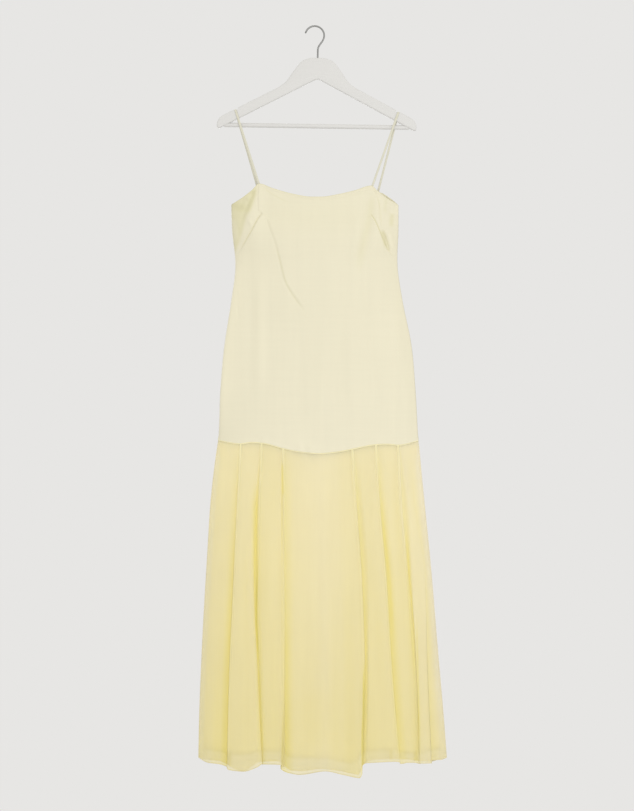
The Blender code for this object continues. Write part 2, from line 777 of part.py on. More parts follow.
def main():
    clear_scene()
    dress = collection("dress_on_hanger")
    cutters = collection("cutters")
    satin = material("satin", (236, 230, 204), 0.45)
    chiffon = material("chiffon", (237, 226, 180), 0.7)
    lining = material("lining", (236, 226, 184), 0.6)
    wood = material("painted_wood", (228, 227, 223), 0.4)
    steel = material("steel_wire", (190, 190, 190), 0.25, 1.0)
    make_hanger(wood, steel, dress, cutters)
    make_straps(satin, dress)
    make_bodice(satin, dress)
    make_skirt(chiffon, dress)
    make_lining(lining, dress)


main()
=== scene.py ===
"""Looks of a drop-waist maxi dress that hangs by its straps on a white wooden hanger.

Metres, +Z up, the front faces -Y, and the origin is the inner top of the hook. The tables
are in millimetres: x to the right of the hook, drop below it, and out, how far the cloth
stands off the plain ring of the garment. They follow the solids, apart from the lining's
hem, two fold edges and the skirt's left edge under the drop waist, which lie a little aside.
"""

import math
from collections import namedtuple

import bmesh
import bpy
import numpy as np
from mathutils import Matrix


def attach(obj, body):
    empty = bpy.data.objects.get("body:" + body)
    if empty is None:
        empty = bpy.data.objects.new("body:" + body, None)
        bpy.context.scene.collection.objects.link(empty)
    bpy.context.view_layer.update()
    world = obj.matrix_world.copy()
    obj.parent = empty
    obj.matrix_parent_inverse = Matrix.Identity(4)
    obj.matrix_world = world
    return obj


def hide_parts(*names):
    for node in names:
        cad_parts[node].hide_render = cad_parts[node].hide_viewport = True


bl_info = {
    "name": "Drop-waist maxi dress",
    "version": (1, 0, 0),
    "blender": (4, 5, 0),
    "location": "3D View > Sidebar > Dress",
    "description": "A satin and chiffon slip dress on a wooden hanger, piece by piece",
    "category": "Object",
}

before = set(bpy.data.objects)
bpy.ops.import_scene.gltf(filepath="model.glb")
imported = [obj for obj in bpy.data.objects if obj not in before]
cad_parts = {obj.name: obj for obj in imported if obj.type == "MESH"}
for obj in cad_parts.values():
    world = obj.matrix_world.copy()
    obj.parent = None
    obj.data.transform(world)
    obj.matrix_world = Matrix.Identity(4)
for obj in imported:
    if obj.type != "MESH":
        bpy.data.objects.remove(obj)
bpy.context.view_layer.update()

MM = 0.001


def table(kind, *rows):
    """Rows of values as named tuples of that kind."""
    return [kind(*row) for row in rows]


# The garment's outline and edges
Section = namedtuple("Section", "drop left right front back")
SECTIONS = table(
    Section,
    (340, -186, 187, 14, 14), (397, -186.5, 187, 21, 16), (450, -185, 187, 29, 17),
    (534, -177.5, 185, 22, 16), (610, -186.5, 196, 20, 17), (710, -202, 216, 21, 18),
    (810, -211, 225, 22, 20), (921, -216, 231.5, 24, 22), (977, -223.5, 236.5, 27, 25),
    (1043, -231, 243, 31, 29), (1177, -240, 256.5, 37, 35), (1411, -253, 276.5, 44, 42),
    (1544, -258, 288, 47, 45), (1650, -260, 296, 48, 46),
)
FLATNESS = 2.4  # power of the ring: 2 is an ellipse, and more is squarer
SIDE_FADE = 8  # power by which folds and relief die away towards the side seams
Edge = namedtuple("Edge", "x drop")
FRONT_TOP = table(
    Edge,
    (-187, 398), (-159, 380), (-140, 365), (-124, 350.5), (-95, 360.5), (-49, 373.5), (-7, 380),
    (16, 380), (49, 375), (88, 366), (126, 355), (139, 366), (163, 384), (187, 398),
)
BACK_TOP = table(
    Edge,
    (-187, 397), (-160, 380), (-126, 360), (-95, 372), (-50, 386), (8, 390), (65, 386),
    (115, 376), (143, 369), (168, 382), (187, 398),
)
FRONT_SEAM = table(
    Edge,
    (-216, 921), (-165.3, 929), (-139.7, 926), (-114.6, 928), (-68.6, 940), (-32.9, 947),
    (9.3, 951), (51.6, 947), (82.7, 941), (136.2, 931), (160.6, 930), (186, 932), (231.5, 922),
)
BACK_SEAM = table(
    Edge,
    (-216, 921), (-165, 926), (-115, 928), (-68.5, 931), (10, 934), (82, 931), (136.5, 929),
    (186, 928), (231.5, 922),
)
LINING_HEM = table(
    Edge,
    (-260, 1610), (-165, 1621), (-118, 1613), (-72, 1614), (-58, 1627), (20, 1629), (85, 1639),
    (116, 1614), (180, 1611), (212, 1619), (296, 1608),
)
SIDE_HEM = 1629  # drop of the skirt's hem at both side seams

# The skirt's folds: a row for each ridge, trough and turn where the cloth goes back under
# itself. It gives x at each level, then out at each, then the drop of the hem there. A
# panel's first row is its seam with the panel before it.
LEVELS = (0, 0.18, 0.42, 0.7, 1)  # shares of the skirt's length
Fold = namedtuple("Fold", "panel x out hem")


def fold_table(**panels):
    n = len(LEVELS)
    return [
        Fold(panel, row[:n], row[n:-1], row[-1]) for panel, rows in panels.items() for row in rows
    ]


FRONT_FOLDS = fold_table(
    left_3=(
        (-203, -210, -221, -232, -238, 0, 1, 2, 3, 4, 1639),
        (-182, -188, -197, -206, -211, 0, 0, -1, -2, -4, 1642),
        (-166, -173.3, -181.3, -190, -195, 0, -3, -4.5, -4.5, -5, 1648),
    ),
    left_2=(
        (-165, -172.7, -180.7, -189.3, -194.5, 0, 2.5, 4.5, 6, 7, 1652),
        (-159, -165, -173, -181, -185, 0.5, 4, 6, 8, 9, 1655),
        (-140, -148, -155, -157, -158, 0.5, 4, 6, 7.5, 9, 1657),
        (-126, -139, -143, -135, -127, 0.5, 4, 7, 9, 9, 1647),
        (-119.6, -131.5, -136, -127.5, -117.3, 0, 1, 2, 4, 4.5, 1640),
        (-119.3, -131.1, -135.6, -127.1, -116.9, 0, -1, -3, -2, -1, 1643),
        (-118.9, -127, -131, -125, -117.2, 0, -5, -8, -4, -4, 1641),
    ),
    left_1=(
        (-118.4, -124, -126, -123.5, -115.5, 0, -1, -2, -2.5, -2.5, 1641),
        (-112, -115, -115.5, -114, -109, 0.3, 2, 3, 3, 3, 1641),
        (-93, -93, -93, -92, -90, 0.5, 3, 5, 5, 6, 1641),
        (-77, -77, -76.5, -76, -75, 0.3, 4, 5, 6, 7, 1642),
        (-73.6, -73, -72.4, -72, -71.5, 0, -1, 2, 4, 5, 1643),
    ),
    centre=(
        (-70.3, -69, -68.1, -67.4, -66.8, 0, 2, 3, 4, 5, 1644),
        (-69.8, -68.5, -67.6, -67, -76, 0, 0, 0, 0, -1, 1650),
        (-62, -62, -61, -60, -59, 0, -1, -1.5, -2, -2, 1660),
        (-33, -33, -33, -33, -33, 0, -1, -1.5, -2, -3, 1664),
        (12, 16, 20, 24, 24, 0.3, 1.5, 2.5, 4, 6, 1656),
        (48, 52, 58, 62, 62, 0, -0.5, -1, -2, -2, 1664),
        (74, 82, 94, 98, 99, 0.3, 2, 4, 6, 7, 1671),
    ),
    right_1=(
        (83.2, 93, 105, 110.6, 105, 0, 1.5, 3, 4, 4.5, 1660),
        (83.6, 93.5, 105.5, 111.1, 105.5, 0, -3, -4.5, -4, -3.5, 1646),
        (88, 99.5, 112, 117, 112, 0, -3.5, -4, -3, -2, 1639),
        (98, 108, 119, 120, 117, 0.3, 1, 1, 3, 4, 1638),
        (114, 126, 136, 144, 149, 0.5, 3, 5, 7, 8, 1636),
        (128, 137, 151, 163, 177, 0.5, 4, 6, 8, 9, 1635),
    ),
    right_2=(
        (136.2, 144, 158.5, 171, 189, 0, 1.5, 3, 4.5, 6, 1637),
        (136.6, 144.5, 159, 171.5, 189.4, 0, -3, -5, -3.5, 1, 1640),
        (141, 149, 165, 178, 195, 0, -4, -6, -4, 0, 1640),
        (152, 163, 178, 193, 206, 0.2, 0, -1, -2, -2, 1638),
        (176, 182, 196, 212, 222, 0, 1, 1, -1, -1.5, 1638),
    ),
    right_3=(
        (185.5, 190.7, 206, 223, 230, 0, 3, 3, 0, -1, 1640),
        (188, 198, 211, 227, 234.5, -0.5, -3, -6, -3.5, -2.5, 1641),
        (190.5, 206.3, 217.5, 225.5, 232.2, 0, 2.5, 4, 3, 2.5, 1640),
        (194, 210, 222, 230, 238, 0.3, 3, 5, 4.5, 4, 1640),
        (199, 214, 234, 240, 247, 0.3, 3, 5, 4.5, 4.5, 1640),
        (204, 218, 245, 251.2, 259.9, 0, 1.5, 2, 3, 3, 1640),
        (207, 219.5, 246, 249.5, 258, 0, 0.5, 1, 0, -1, 1636),
        (211, 222, 251, 257, 265, 0, 0, 0, -1, -1.5, 1633),
        (220, 228, 254, 268, 281, 0, 0, 0, 1, 1, 1633),
    ),
)
BACK_FOLDS = fold_table(
    left_3=(
        (-203, -209, -219, -231, -237, 0, 1, 2, 3, 4, 1637),
        (-185, -192, -200, -208, -214, 0, -1, -3, -5, -6, 1639),
        (-166, -170, -176, -184, -188, 0, -3, -6, -8, -9, 1653),
    ),
    left_2=(
        (-165, -172, -182, -192, -198, 0, 1, 2, 3, 3, 1646),
        (-158, -165, -173, -181, -186, 0.3, 3, 5, 7, 8, 1655),
        (-141, -147, -152, -158, -161, 0.3, 4, 7, 9, 10, 1664),
        (-124, -128, -132, -136, -138, 0.3, 2, 4, 5, 6, 1651),
    ),
    left_1=(
        (-115.5, -119, -123, -127, -129, 0, 0, 1, 1, 1, 1644),
        (-108, -112, -116, -119, -121, 0, -2, -4, -6, -7, 1642),
        (-92, -94, -97, -100, -102, 0, -1, 0, 2, 3, 1642),
        (-78, -78, -80, -82, -84, 0.3, 2, 5, 7, 8, 1642),
    ),
    centre=(
        (-68.5, -68, -68, -68, -69, 0, 1.5, 3, 4, 4, 1647),
        (-68, -69.5, -71.5, -74, -75.5, 0, -2, -4, -5, -5, 1643),
        (-58, -56, -55, -54, -54, 0, -2, -3, -4, -4, 1662),
        (-25, -26, -27, -28, -28, 0.3, 1, 2, 3, 5, 1664),
        (10, 10, 11, 11, 12, 0, -1, -2, -3, -4, 1659),
        (45, 47, 50, 53, 55, 0.3, 2, 3, 4, 6, 1664),
        (70, 74, 79, 84, 87, 0, 0, -1, -2, -2, 1670),
    ),
    right_1=(
        (82, 86, 91, 95, 98, 0, 1, 2, 3, 3, 1672),
        (90, 96, 103, 108, 112, 0.3, 3, 5, 7, 8, 1645),
        (112, 118, 126, 132, 137, 0.3, 4, 6, 8, 9, 1638),
        (127, 135, 145, 154, 160, 0.3, 3, 5, 6, 7, 1637),
    ),
    right_2=(
        (136.5, 144, 155, 166, 173, 0, 1, 2, 3, 3, 1636),
        (136.9, 142, 151, 160.5, 168, 0, -3, -5, -7, -8, 1637),
        (145, 154, 166, 178, 186, 0, -3, -5, -6, -6, 1636),
        (162, 171, 184, 196, 204, 0, 0, 0, 1, 2, 1637),
        (175, 185, 198, 211, 220, 0.3, 3, 4, 6, 7, 1639),
    ),
    right_3=(
        (186, 194, 208, 221, 230, 0, 1, 2, 2, 2, 1639),
        (186.6, 192, 204, 214, 222, 0, -3, -5, -7, -8, 1639),
        (196, 204, 219, 232, 241, 0, -3, -4, -5, -5, 1640),
        (208, 216, 233, 250, 260, 0, 1, 3, 4, 5, 1641),
        (220, 226, 246, 263, 276, 0, 0, 0, -1, 0, 1636),
    ),
)
# Waves by which the folds wander as they fall: turn down the skirt, phase and size
OUT_WAVES = ((5.1, 1, 0.5), (11.7, 1.7, 0.3))
X_WAVES = ((7.3, 0.6, 0.35),)
WAVE_STEP = 2.4  # of the phase, from one fold to the next
WAVE_START = 1 / 3  # share of the skirt's length at which they are full

# The chiffon's yellow, from 0, pale, to 1, deep; inside the folds its deeper yellow is painted
# shade
Panel = namedtuple("Panel", "name tone cover")  # its yellow, and its cover where it is unlined
PANELS = table(
    Panel,
    ("left_3", 0.16, 0.1),
    ("left_2", 0.15, 0.1),
    ("left_1", 0.19, 0.05),
    ("centre", 0.0, 0.05),
    ("right_1", 0.14, 0.1),
    ("right_2", 0.12, 0.1),
    ("right_3", 0.0, 0.1),
)
CENTRE_TONE = 0.22  # more of it at the sides of the centre panel
FALL_TONE = 0.3  # more of it at the hem
# Painted shade: the deeper yellow inside the folds
FOLD_REACH = 21  # how far from a fold the yellow of its inside shows
FULL_RISE = 12  # how far a fold stands out where its inside is as deep as it gets
DEEPEST = 0.7  # the most that the inside of a fold adds
Stroke = namedtuple("Stroke", "line width amount")  # along a line of (x, drop)
# Painted shade along the skirt's fold lines: deeper yellow, and paler where the amount is below 0
FRONT_FOLD_SHADES = table(
    Stroke,
    (((-71.5, 966), (-71, 1000), (-70, 1052)), 1.8, 1.3),
    (((236, 925), (250, 1040), (264, 1210), (290, 1640)), 20, -0.22),
    (((-236, 1080), (-248, 1280), (-257, 1500), (-262, 1700)), 12, -0.2),
    (((-5, 1460), (5, 1540), (12, 1620)), 38, 0.08),
    (((201, 1090), (205, 1150), (210, 1255), (215, 1321), (219, 1388), (223, 1480)), 4.2, 0.38),
    (((-130, 1000), (-133, 1090), (-132, 1180), (-130, 1260)), 6, 0.5),
    (((-127, 1180), (-129.5, 1277), (-130, 1322), (-127.5, 1366), (-125, 1430)), 1.5, 2.1),
    (((-125, 1420), (-121, 1520), (-117, 1620)), 1.6, 0.7),
    (((147, 1020), (153, 1110), (164, 1210), (177, 1400)), 4, 0.25),
    (((110.5, 1400), (109, 1500), (107, 1560), (105.5, 1690)), 1.5, 1.9),
    (((109.5, 1450), (107.5, 1544), (106, 1620)), 1.2, 1),
    (((226, 1290), (228, 1400), (231, 1520), (233, 1640)), 2.2, 0.5),
    (((-62, 1300), (-62, 1450), (-61, 1650)), 5, 0.15),
)
FOLD_SHADE_FADES = 0.3, 0.3  # shares of a line over which it fades in and out

# The skirt's mesh
SKIRT_ROWS = 104
ROW_CROWDING = 0.15  # how much closer the rows are at both ends
TOP_ROWS, HEM_ROWS = (0.0012, 0.0028), (0.9952, 0.9972, 0.9989)  # extra rows there
SKIRT_PITCH, FEWEST_COLUMNS = 3.2 * MM, 4  # between two folds
SIDE_COLUMNS = 12  # between the last fold and the side seam
SEAM_STATIONS = (0, 0.5, 1.0, 1.5, 2.1, 2.8)  # columns on each side of a seam
SEAM_CLEAR = 3.8  # how far from a seam the other columns stay
SEAM_RISE = 0.12  # how far a narrow seam stands up from the chiffon
SEAM_SPREAD, SEAM_SOFTNESS = 1.6, 1.2  # its edges, in halves of its width
SEAM_REACH = 14  # how far along the cloth it can show
SEAM_COVER, SEAM_LOSS, SEAM_LOSS_END = 0.78, 0.55, 0.35  # how dense it is, less further down
HEM_SPREAD, HEM_SOFTNESS, HEM_COVER = 1.3, 1.2, 0.55  # the hem's edge and how dense it is
TOP_BAND, TOP_SOFTNESS = 1.6, 0.8  # how far the seam allowance shows below the drop waist
TOP_INSET = 0.5  # how far the skirt's top lies inside the satin
TOP_REACH = 14  # how far down the skirt follows the bodice's puckers
TUCK = 5 * MM  # how far the skirt's top goes up behind the bodice's lower edge

# The lining
LINING_ROWS, LINING_COLUMNS = 60, 120
LINING_CROWDING = 0.8  # power below 1, by which its rows are closer towards the hem
LINING_INSET, LINING_TOP_INSET, LINING_SLOPE = 12.5, 2.35, 0.1  # inside the chiffon
LINING_START = -4  # its top edge, from the drop-waist seam
LINING_WAVES = ((5.5, 0.4, 0.9), (9.2, 2.1, 0.7), (14.1, 4.0, 0.5))  # turn, phase and size
UNLINED_LEAD, UNLINED_FADE = 2, 5  # where the chiffon pales, about the lining's hem
LOW_LEAD, LOW_FADE = 1, 2  # where the lining itself fades

# The bodice's relief: each crease runs down a line of (x, drop). out is the height of the
# ridge, or the depth of the trough if it is below 0. step lifts what lies right of the line
# over what lies left of it, and dies away over reach. Both fade in and out along the line.
Crease = namedtuple("Crease", "line out width fade_in fade_out step reach", defaults=(0, 1))
FRONT_CREASES = table(
    Crease,
    # left bust dart, sewn, from under the strap down to the side seam
    (
        ((-116, 415), (-124, 425), (-142, 458), (-159, 487), (-173, 511), (-179, 523)),
        -1.8, 1.3, 0.03, 0.05, 2.8, 18,
    ),
    # right bust dart, with a deep pinch near its lower end
    (
        ((124, 419), (133.5, 431), (143, 452), (153, 475), (163, 497), (173, 511), (186, 521)),
        -1.8, 1.3, 0.03, 0.05, -2.2, 14,
    ),
    (((148, 448), (154, 466), (160, 484), (165, 502)), -4.6, 3.6, 0.4, 0.1, -2.5, 9),
    # fold lines that hang from the straps
    (((-126, 352), (-127, 380), (-126, 416)), -0.8, 1.6, 0.05, 0.2, 1.4, 14),
    (((128, 356), (140, 380), (146.5, 436), (152, 456)), -1, 1.6, 0.05, 0.2, -1.6, 14),
    # side cups
    (((-134, 366), (-146, 390), (-158, 420), (-166, 450)), -2.6, 5, 0.1, 0.4, 1.5, 12),
    (((-148, 384), (-160, 392), (-172, 404)), -1.6, 4, 0.2, 0.3),
    (((-150, 424), (-143, 440), (-139, 452)), 1.4, 4, 0.4, 0.4),
    (((-172, 440), (-168, 470), (-170, 500)), -1.4, 5, 0.3, 0.3),
    (((150, 377), (167, 389), (185, 404)), -0.9, 2.8, 0.2, 0.1, 0.4, 8),
    (((158, 400), (172, 420), (181, 455)), -2.2, 6, 0.3, 0.3),
    (((161, 452), (172, 474), (183, 492)), 1.8, 5, 0.3, 0.3),
    # drag crease from the left dart to the middle
    (
        (
            (-110, 420), (-101, 449), (-91, 476), (-81, 512), (-75, 543), (-68, 567),
            (-57, 587), (-46, 603), (-33, 621), (-18, 639),
        ),
        -0.9, 2.2, 0.08, 0.14, 0.8, 20,
    ),
    # soft falls of the cloth
    (((127, 366), (118, 454), (101, 525), (92, 570)), -2.6, 12, 0.2, 0.4),
    (((96, 400), (92, 470), (84, 540)), 1.3, 10, 0.3, 0.4),
    (((-117, 510), (-119, 650), (-121, 850)), 0.7, 12, 0.4, 0.4),
    (((-137, 540), (-143, 700), (-146, 860)), -1.2, 12, 0.3, 0.3),
    (((112, 580), (124, 700), (132, 880)), -1.1, 14, 0.3, 0.3),
    (((70, 560), (76, 700), (80, 900)), 0.9, 13, 0.3, 0.3),
    (((-30, 660), (-34, 780), (-36, 930)), -0.9, 16, 0.3, 0.2),
    (((20, 620), (18, 760), (14, 930)), 0.8, 16, 0.3, 0.2),
    (((164, 600), (184, 700), (196, 860)), 1.1, 10, 0.3, 0.3),
    (((-176, 560), (-174, 600), (-168, 674)), -0.7, 2.6, 0.3, 0.4),
    # puckers over the drop-waist seam
    (((-34, 925), (-33, 940), (-33, 950)), 1.6, 7, 0.5, 0),
    (((-8, 928), (-8, 940), (-8, 952)), 2.2, 9, 0.5, 0),
    (((84, 922), (84, 933), (83, 942)), 1, 8, 0.5, 0),
    (((-114, 908), (-114, 918), (-114, 929)), 1.1, 9, 0.5, 0),
    (((137, 908), (137, 920), (136, 932)), 1, 9, 0.5, 0),
)
BACK_CREASES = table(
    Crease,
    (((-126, 362), (-120, 430), (-100, 520), (-84, 600)), -2, 11, 0.1, 0.4),
    (((143, 371), (132, 440), (112, 520), (98, 590)), -2, 11, 0.1, 0.4),
    (((-60, 392), (-52, 470), (-50, 560)), 1.2, 12, 0.2, 0.4),
    (((70, 392), (66, 480), (60, 580)), 1.2, 12, 0.2, 0.4),
    (((-8, 560), (-2, 700), (4, 900)), -1.2, 14, 0.3, 0.3),
    (((-104, 620), (-118, 740), (-124, 900)), 1.2, 12, 0.3, 0.3),
    (((96, 600), (108, 730), (120, 900)), -1.1, 12, 0.3, 0.3),
    (((150, 600), (172, 720), (182, 880)), 1.1, 11, 0.3, 0.3),
    (((-164, 420), (-158, 480), (-160, 560)), -1.5, 8, 0.3, 0.4),
    (((170, 420), (164, 480), (168, 560)), -1.5, 8, 0.3, 0.4),
    (((-38, 905), (-38, 918), (-38, 932)), 1, 9, 0.5, 0),
    (((96, 905), (96, 918), (96, 930)), 1.1, 9, 0.5, 0),
)
Swell = namedtuple("Swell", "x drop out across down")
BUST = table(
    Swell,
    (0, 575, 4.5, 175, 85),
    (0, 452, -2.5, 150, 45),
    (0, 375, 3, 120, 40),
    (-141, 420, 5, 22, 60),
    (180, 430, -5, 26, 56),
)
TOP_RIBS = ((2, 2, 0.5), (6.5, 1.8, -0.55), (12, 4, 0.25))  # below the edge, width and out
EDGE_LAP, EDGE_REACH = 0.6, 9  # how far the satin stands over the skirt above its lower edge
EDGE_TURN, EDGE_WIDTH = 1.4, 0.8  # how far it turns in at the edge itself
SIDE_GROOVE, GROOVE_WIDTH, GROOVE_END = 0.5 * MM, 1.2 * MM, 14  # of the side seams
HALF_WIDTH = 0.2  # of the garment, about
FACING = (14, 11, 8, 5, 2.5, 1)  # rows of the turned-in facing, below the edge
FACING_IN, FACING_UP = 0.85 * MM, 0.35 * MM

# Painted highlights on the satin, and painted shade where the amount is below 0
PAINTED_LIGHTS = table(
    Stroke,
    (((-130, 356), (-136, 378), (-143, 400), (-152, 424)), 5, -0.8),
    (((-190, 395), (-176, 400), (-160, 404), (-150, 400)), 7, -0.6),
    (((-186, 425), (-180, 455), (-174, 486)), 9, 0.35),
    (((-151, 368), (-160, 380), (-172, 392)), 3, 0.15),
    (((-125.5, 358), (-125.5, 385), (-126.5, 415)), 2, 0.3),
    (((-116, 414), (-124, 424), (-142, 457), (-159, 486), (-172, 508)), 1.1, -0.75),
    (((-113, 520), (-117, 640), (-119, 830)), 13, 0.25),
    (((160, 378), (157, 400), (155, 420)), 4, -0.25),
    (((174, 414), (171, 432), (170, 450)), 5, -0.55),
    (((148, 452), (153, 472), (159, 498)), 4, -0.5),
    (((166, 458), (169, 476), (174, 496)), 3, 0.45),
    (((183, 396), (184, 410), (184, 425)), 4, 0.4),
    (((121, 412), (132, 429), (143, 452), (163, 497), (174, 512)), 1.1, -0.85),
    (((149, 450), (157, 470), (163, 488), (168, 502)), 3.2, -0.4),
    (((140, 378), (145, 405), (149, 450)), 1.2, -0.35),
    (((130, 362), (121, 430), (104, 505), (96, 560)), 8, -0.3),
    (((-117, 358), (-88, 378), (-55, 394)), 1.4, -0.3),
    (((-172, 470), (-182, 560), (-204, 740), (-216, 940)), 28, 0.85),
    (((-125.5, 356), (-126, 385), (-125.5, 412)), 1.2, -0.3),
    (((-150, 420), (0, 425), (150, 420)), 45, -0.1),
    (((-89, 480), (-75, 530), (-62, 575), (-46, 603), (-16, 642)), 1.5, -0.4),
)
PAINTED_LIGHT_FADES = 0.2, 0.3  # as for the painted shade in the skirt's folds
# Painted shade on the left cup, left of this line beside the left dart.
LEFT_CUP_SHADE_LINE = ((-130, 352), (-140, 387), (-153, 427), (-164, 467), (-177, 505))
LEFT_CUP_SHADE, LEFT_CUP_SHADE_WIDTH = 0.75, 10
SEAM_EDGE_HIGHLIGHT, TOP_EDGE_SHADE, PAINTED_EDGE_WIDTH = 0.7, -0.35, 1.8  # painted highlight along the lower edge, painted shade along the top edge

# Columns across and rows down the bodice: where each band of them starts and how many it
# has. They are closer where the darts and the drag crease are.
FRONT_COLUMNS = ((-1, 6), (-0.95, 66), (-0.58, 42), (-0.08, 28), (0.62, 62), (0.95, 8), (1, 1))
FRONT_ROWS = ((0, 8), (0.025, 94), (0.26, 52), (0.5, 44), (0.97, 6), (0.995, 6), (1, 1))
BACK_COLUMNS = ((-1, 10), (-0.9, 110), (0.9, 10), (1, 1))
BACK_ROWS = ((0, 8), (0.03, 116), (0.97, 6), (0.995, 6), (1, 1))

# Flat sizes of the cut cloth that shows, without seam allowances, in metres: the bodice,
# the lining, then the skirt's panels from left to right
Cut = namedtuple("Cut", "width length area")
FRONT_CUTS = table(
    Cut,
    (0.466, 0.595, 0.24), (0.566, 0.7, 0.343), (0.088, 0.729, 0.055), (0.091, 0.737, 0.046),
    (0.06, 0.719, 0.04), (0.206, 0.734, 0.126), (0.103, 0.726, 0.045), (0.057, 0.717, 0.037),
    (0.093, 0.719, 0.051),
)
BACK_CUTS = table(
    Cut,
    (0.458, 0.584, 0.231), (0.565, 0.712, 0.345), (0.102, 0.733, 0.06), (0.081, 0.743, 0.045),
    (0.063, 0.722, 0.041), (0.192, 0.747, 0.125), (0.094, 0.747, 0.048), (0.07, 0.718, 0.045),
    (0.096, 0.723, 0.054),
)
Half = namedtuple(
    "Half", "name front top seam columns rows creases swells shines folds deeps phase cuts"
)
FRONT = Half(
    "front", True, FRONT_TOP, FRONT_SEAM, FRONT_COLUMNS, FRONT_ROWS, FRONT_CREASES, BUST,
    PAINTED_LIGHTS, FRONT_FOLDS, FRONT_FOLD_SHADES, 0, FRONT_CUTS,
)
BACK = Half(
    "back", False, BACK_TOP, BACK_SEAM, BACK_COLUMNS, BACK_ROWS, BACK_CREASES, (),
    (), BACK_FOLDS, (), 1.3, BACK_CUTS,
)

# The hanger
TILT = math.radians(0.86)
HANGER_CENTRE = 7.4 * MM
HANGER_HALF = 222.5 * MM
BOARD = 12 * MM
BOARD_ROUNDING, BAR_ROUNDING = 3 * MM, 0.6 * MM
CROWN_DROP, SHANK_TOP_DROP, SHANK_DEPTH = 69 * MM, 52 * MM, 22 * MM
APEX_DROP, ARM_END_DROP = 115.7 * MM, 228.5 * MM
ARM_SLOPE = math.radians(27.6)
# The board's upper edge as (x, drop) from its middle to the arm, and its points when smoothed
CROWN = ((0, 69), (20, 70.5), (36, 78), (53, 99), (68, 120.5), (86, 135.5))
CROWN_POINTS = 33
SHOULDER_RADIUS, TIP_RADIUS, UNDER_RADIUS, APEX_RADIUS = 24 * MM, 3.6 * MM, 6 * MM, 12 * MM
BAR_DROP, BAR_DIAMETER, BAR_HALF = 221.4 * MM, 10 * MM, 206 * MM
NOTCH_OUT, NOTCH_DROP, NOTCH_RADIUS = 181.5 * MM, 184.5 * MM, 4.8 * MM
CLEAR = 0.3 * MM  # between two pieces that fit into each other
SHARP_ABOVE = math.radians(60)  # edges that turn by more than this are rounded
HOOK_RADIUS, NECK_PULL = 21.1 * MM, 11 * MM
HOOK_FROM, HOOK_TO = math.radians(-20), math.radians(168)
HOOK_POINTS, NECK_POINTS = 49, 24
WIRE_TIP = 0.08  # share of the wire's section that is left at its rounded end

# The straps
StrapLine = namedtuple("StrapLine", "side front_x front_top back_x back_top")
STRAPS = table(
    StrapLine,
    ("left", -125, 350, -127, 361),
    ("right", 128, 357, 141, 369),
)
STRAP_LAP, STRAP_RISE = 9, 1  # how far it goes below and above the bodice's edge
STRAP_BEND, STRAP_INSIDE, STRAP_THICKNESS = 1 * MM, 1.9 * MM, 1.2 * MM
STRAP_SIDES, STRAP_TURN_POINTS, STRAP_RUN_POINTS = 14, 13, 26  # round it, over and up
STRAP_CREST = 4 * MM  # how far below its top a strap starts to turn over


# The sizes and colours that a user would change


def tone(*channels):
    """A colour given as sRGB values of 0 to 255, as the linear values that Blender wants."""
    shares = [channel / 255 for channel in channels]
    return tuple(c / 12.92 if c <= 0.04045 else ((c + 0.055) / 1.055) ** 2.4 for c in shares)


def colour_setting(name, description, *channels):
    return bpy.props.FloatVectorProperty(
        name=name, description=description, subtype="COLOR", size=3, min=0, max=1,
        default=tone(*channels),
    )


def setting(name, description, default, **kind):
    return bpy.props.FloatProperty(
        name=name, description=description, default=default, min=0, **kind
    )


def length_setting(name, description, default):
    return setting(name, description, default, unit="LENGTH")


def share_setting(name, description, default):
    return setting(name, description, default, max=1, subtype="FACTOR")


def power_setting(name, description, default):
    return setting(name, description, default, unit="POWER")


class DressColours(bpy.types.PropertyGroup):
    satin: colour_setting("Satin", "The bodice", 226, 220, 194)
    chiffon: colour_setting("Chiffon", "The skirt's panels", 249, 240, 205)
    # Painted shade: the deeper yellow inside the skirt's folds
    chiffon_deep: colour_setting("Chiffon in folds", "Where folds shut it in", 248, 233, 126)
    chiffon_seam: colour_setting("Chiffon seams", "The skirt's seams", 246, 239, 192)
    # Darker than the seams' colour: painted shade of the rolled hem and of the skirt's lower part
    chiffon_hem: colour_setting("Chiffon hem", "The skirt's rolled hem", 228, 214, 158)
    lining: colour_setting("Lining", "The skirt's lining", 252, 246, 214)
    paint: colour_setting("Paint", "The hanger's wood", 215, 214, 211)
    # Darker and greyer than the bodice's satin, which the straps are made of: painted shade on
    # the narrow straps
    strap: colour_setting("Straps", "The narrow straps", 214, 211, 192)
    steel: colour_setting("Steel", "The hanger's hook", 140, 140, 138)


class DressSizes(bpy.types.PropertyGroup):
    satin_wall: length_setting("Satin thickness", "Of the bodice's shell", 0.55 * MM)
    chiffon_wall: length_setting("Chiffon thickness", "Of the skirt's shell", 0.45 * MM)
    lining_wall: length_setting("Lining thickness", "Of the lining's shell", 0.4 * MM)
    seam_width: length_setting("Seam width", "Of the skirt's narrow seams", 3.4 * MM)
    hem_height: length_setting("Hem height", "Of the skirt's narrow hem", 2.0 * MM)
    strap_width: length_setting("Strap width", "Of the sewn strap", 4.7 * MM)
    wire: length_setting("Wire", "Diameter of the hook's wire", 3.8 * MM)
    fold_depth: share_setting("Fold depth", "Of the skirt's folds, beside their table", 0.45)
    chiffon_alpha: share_setting("Chiffon cover", "How much of what is behind it hides", 0.37)


class StudioSettings(bpy.types.PropertyGroup):
    backdrop: colour_setting("Backdrop", "The pale surroundings", 231, 230, 228)
    distance: length_setting("Distance", "From the camera to the hanger", 9.0)
    key_power: power_setting("Key light", "The soft light from the front", 39.5)
    back_power: power_setting("Back light", "The soft light from behind", 28)
    side_power: power_setting("Side light", "The soft light from the right", 6)


# Shader maths and finishes


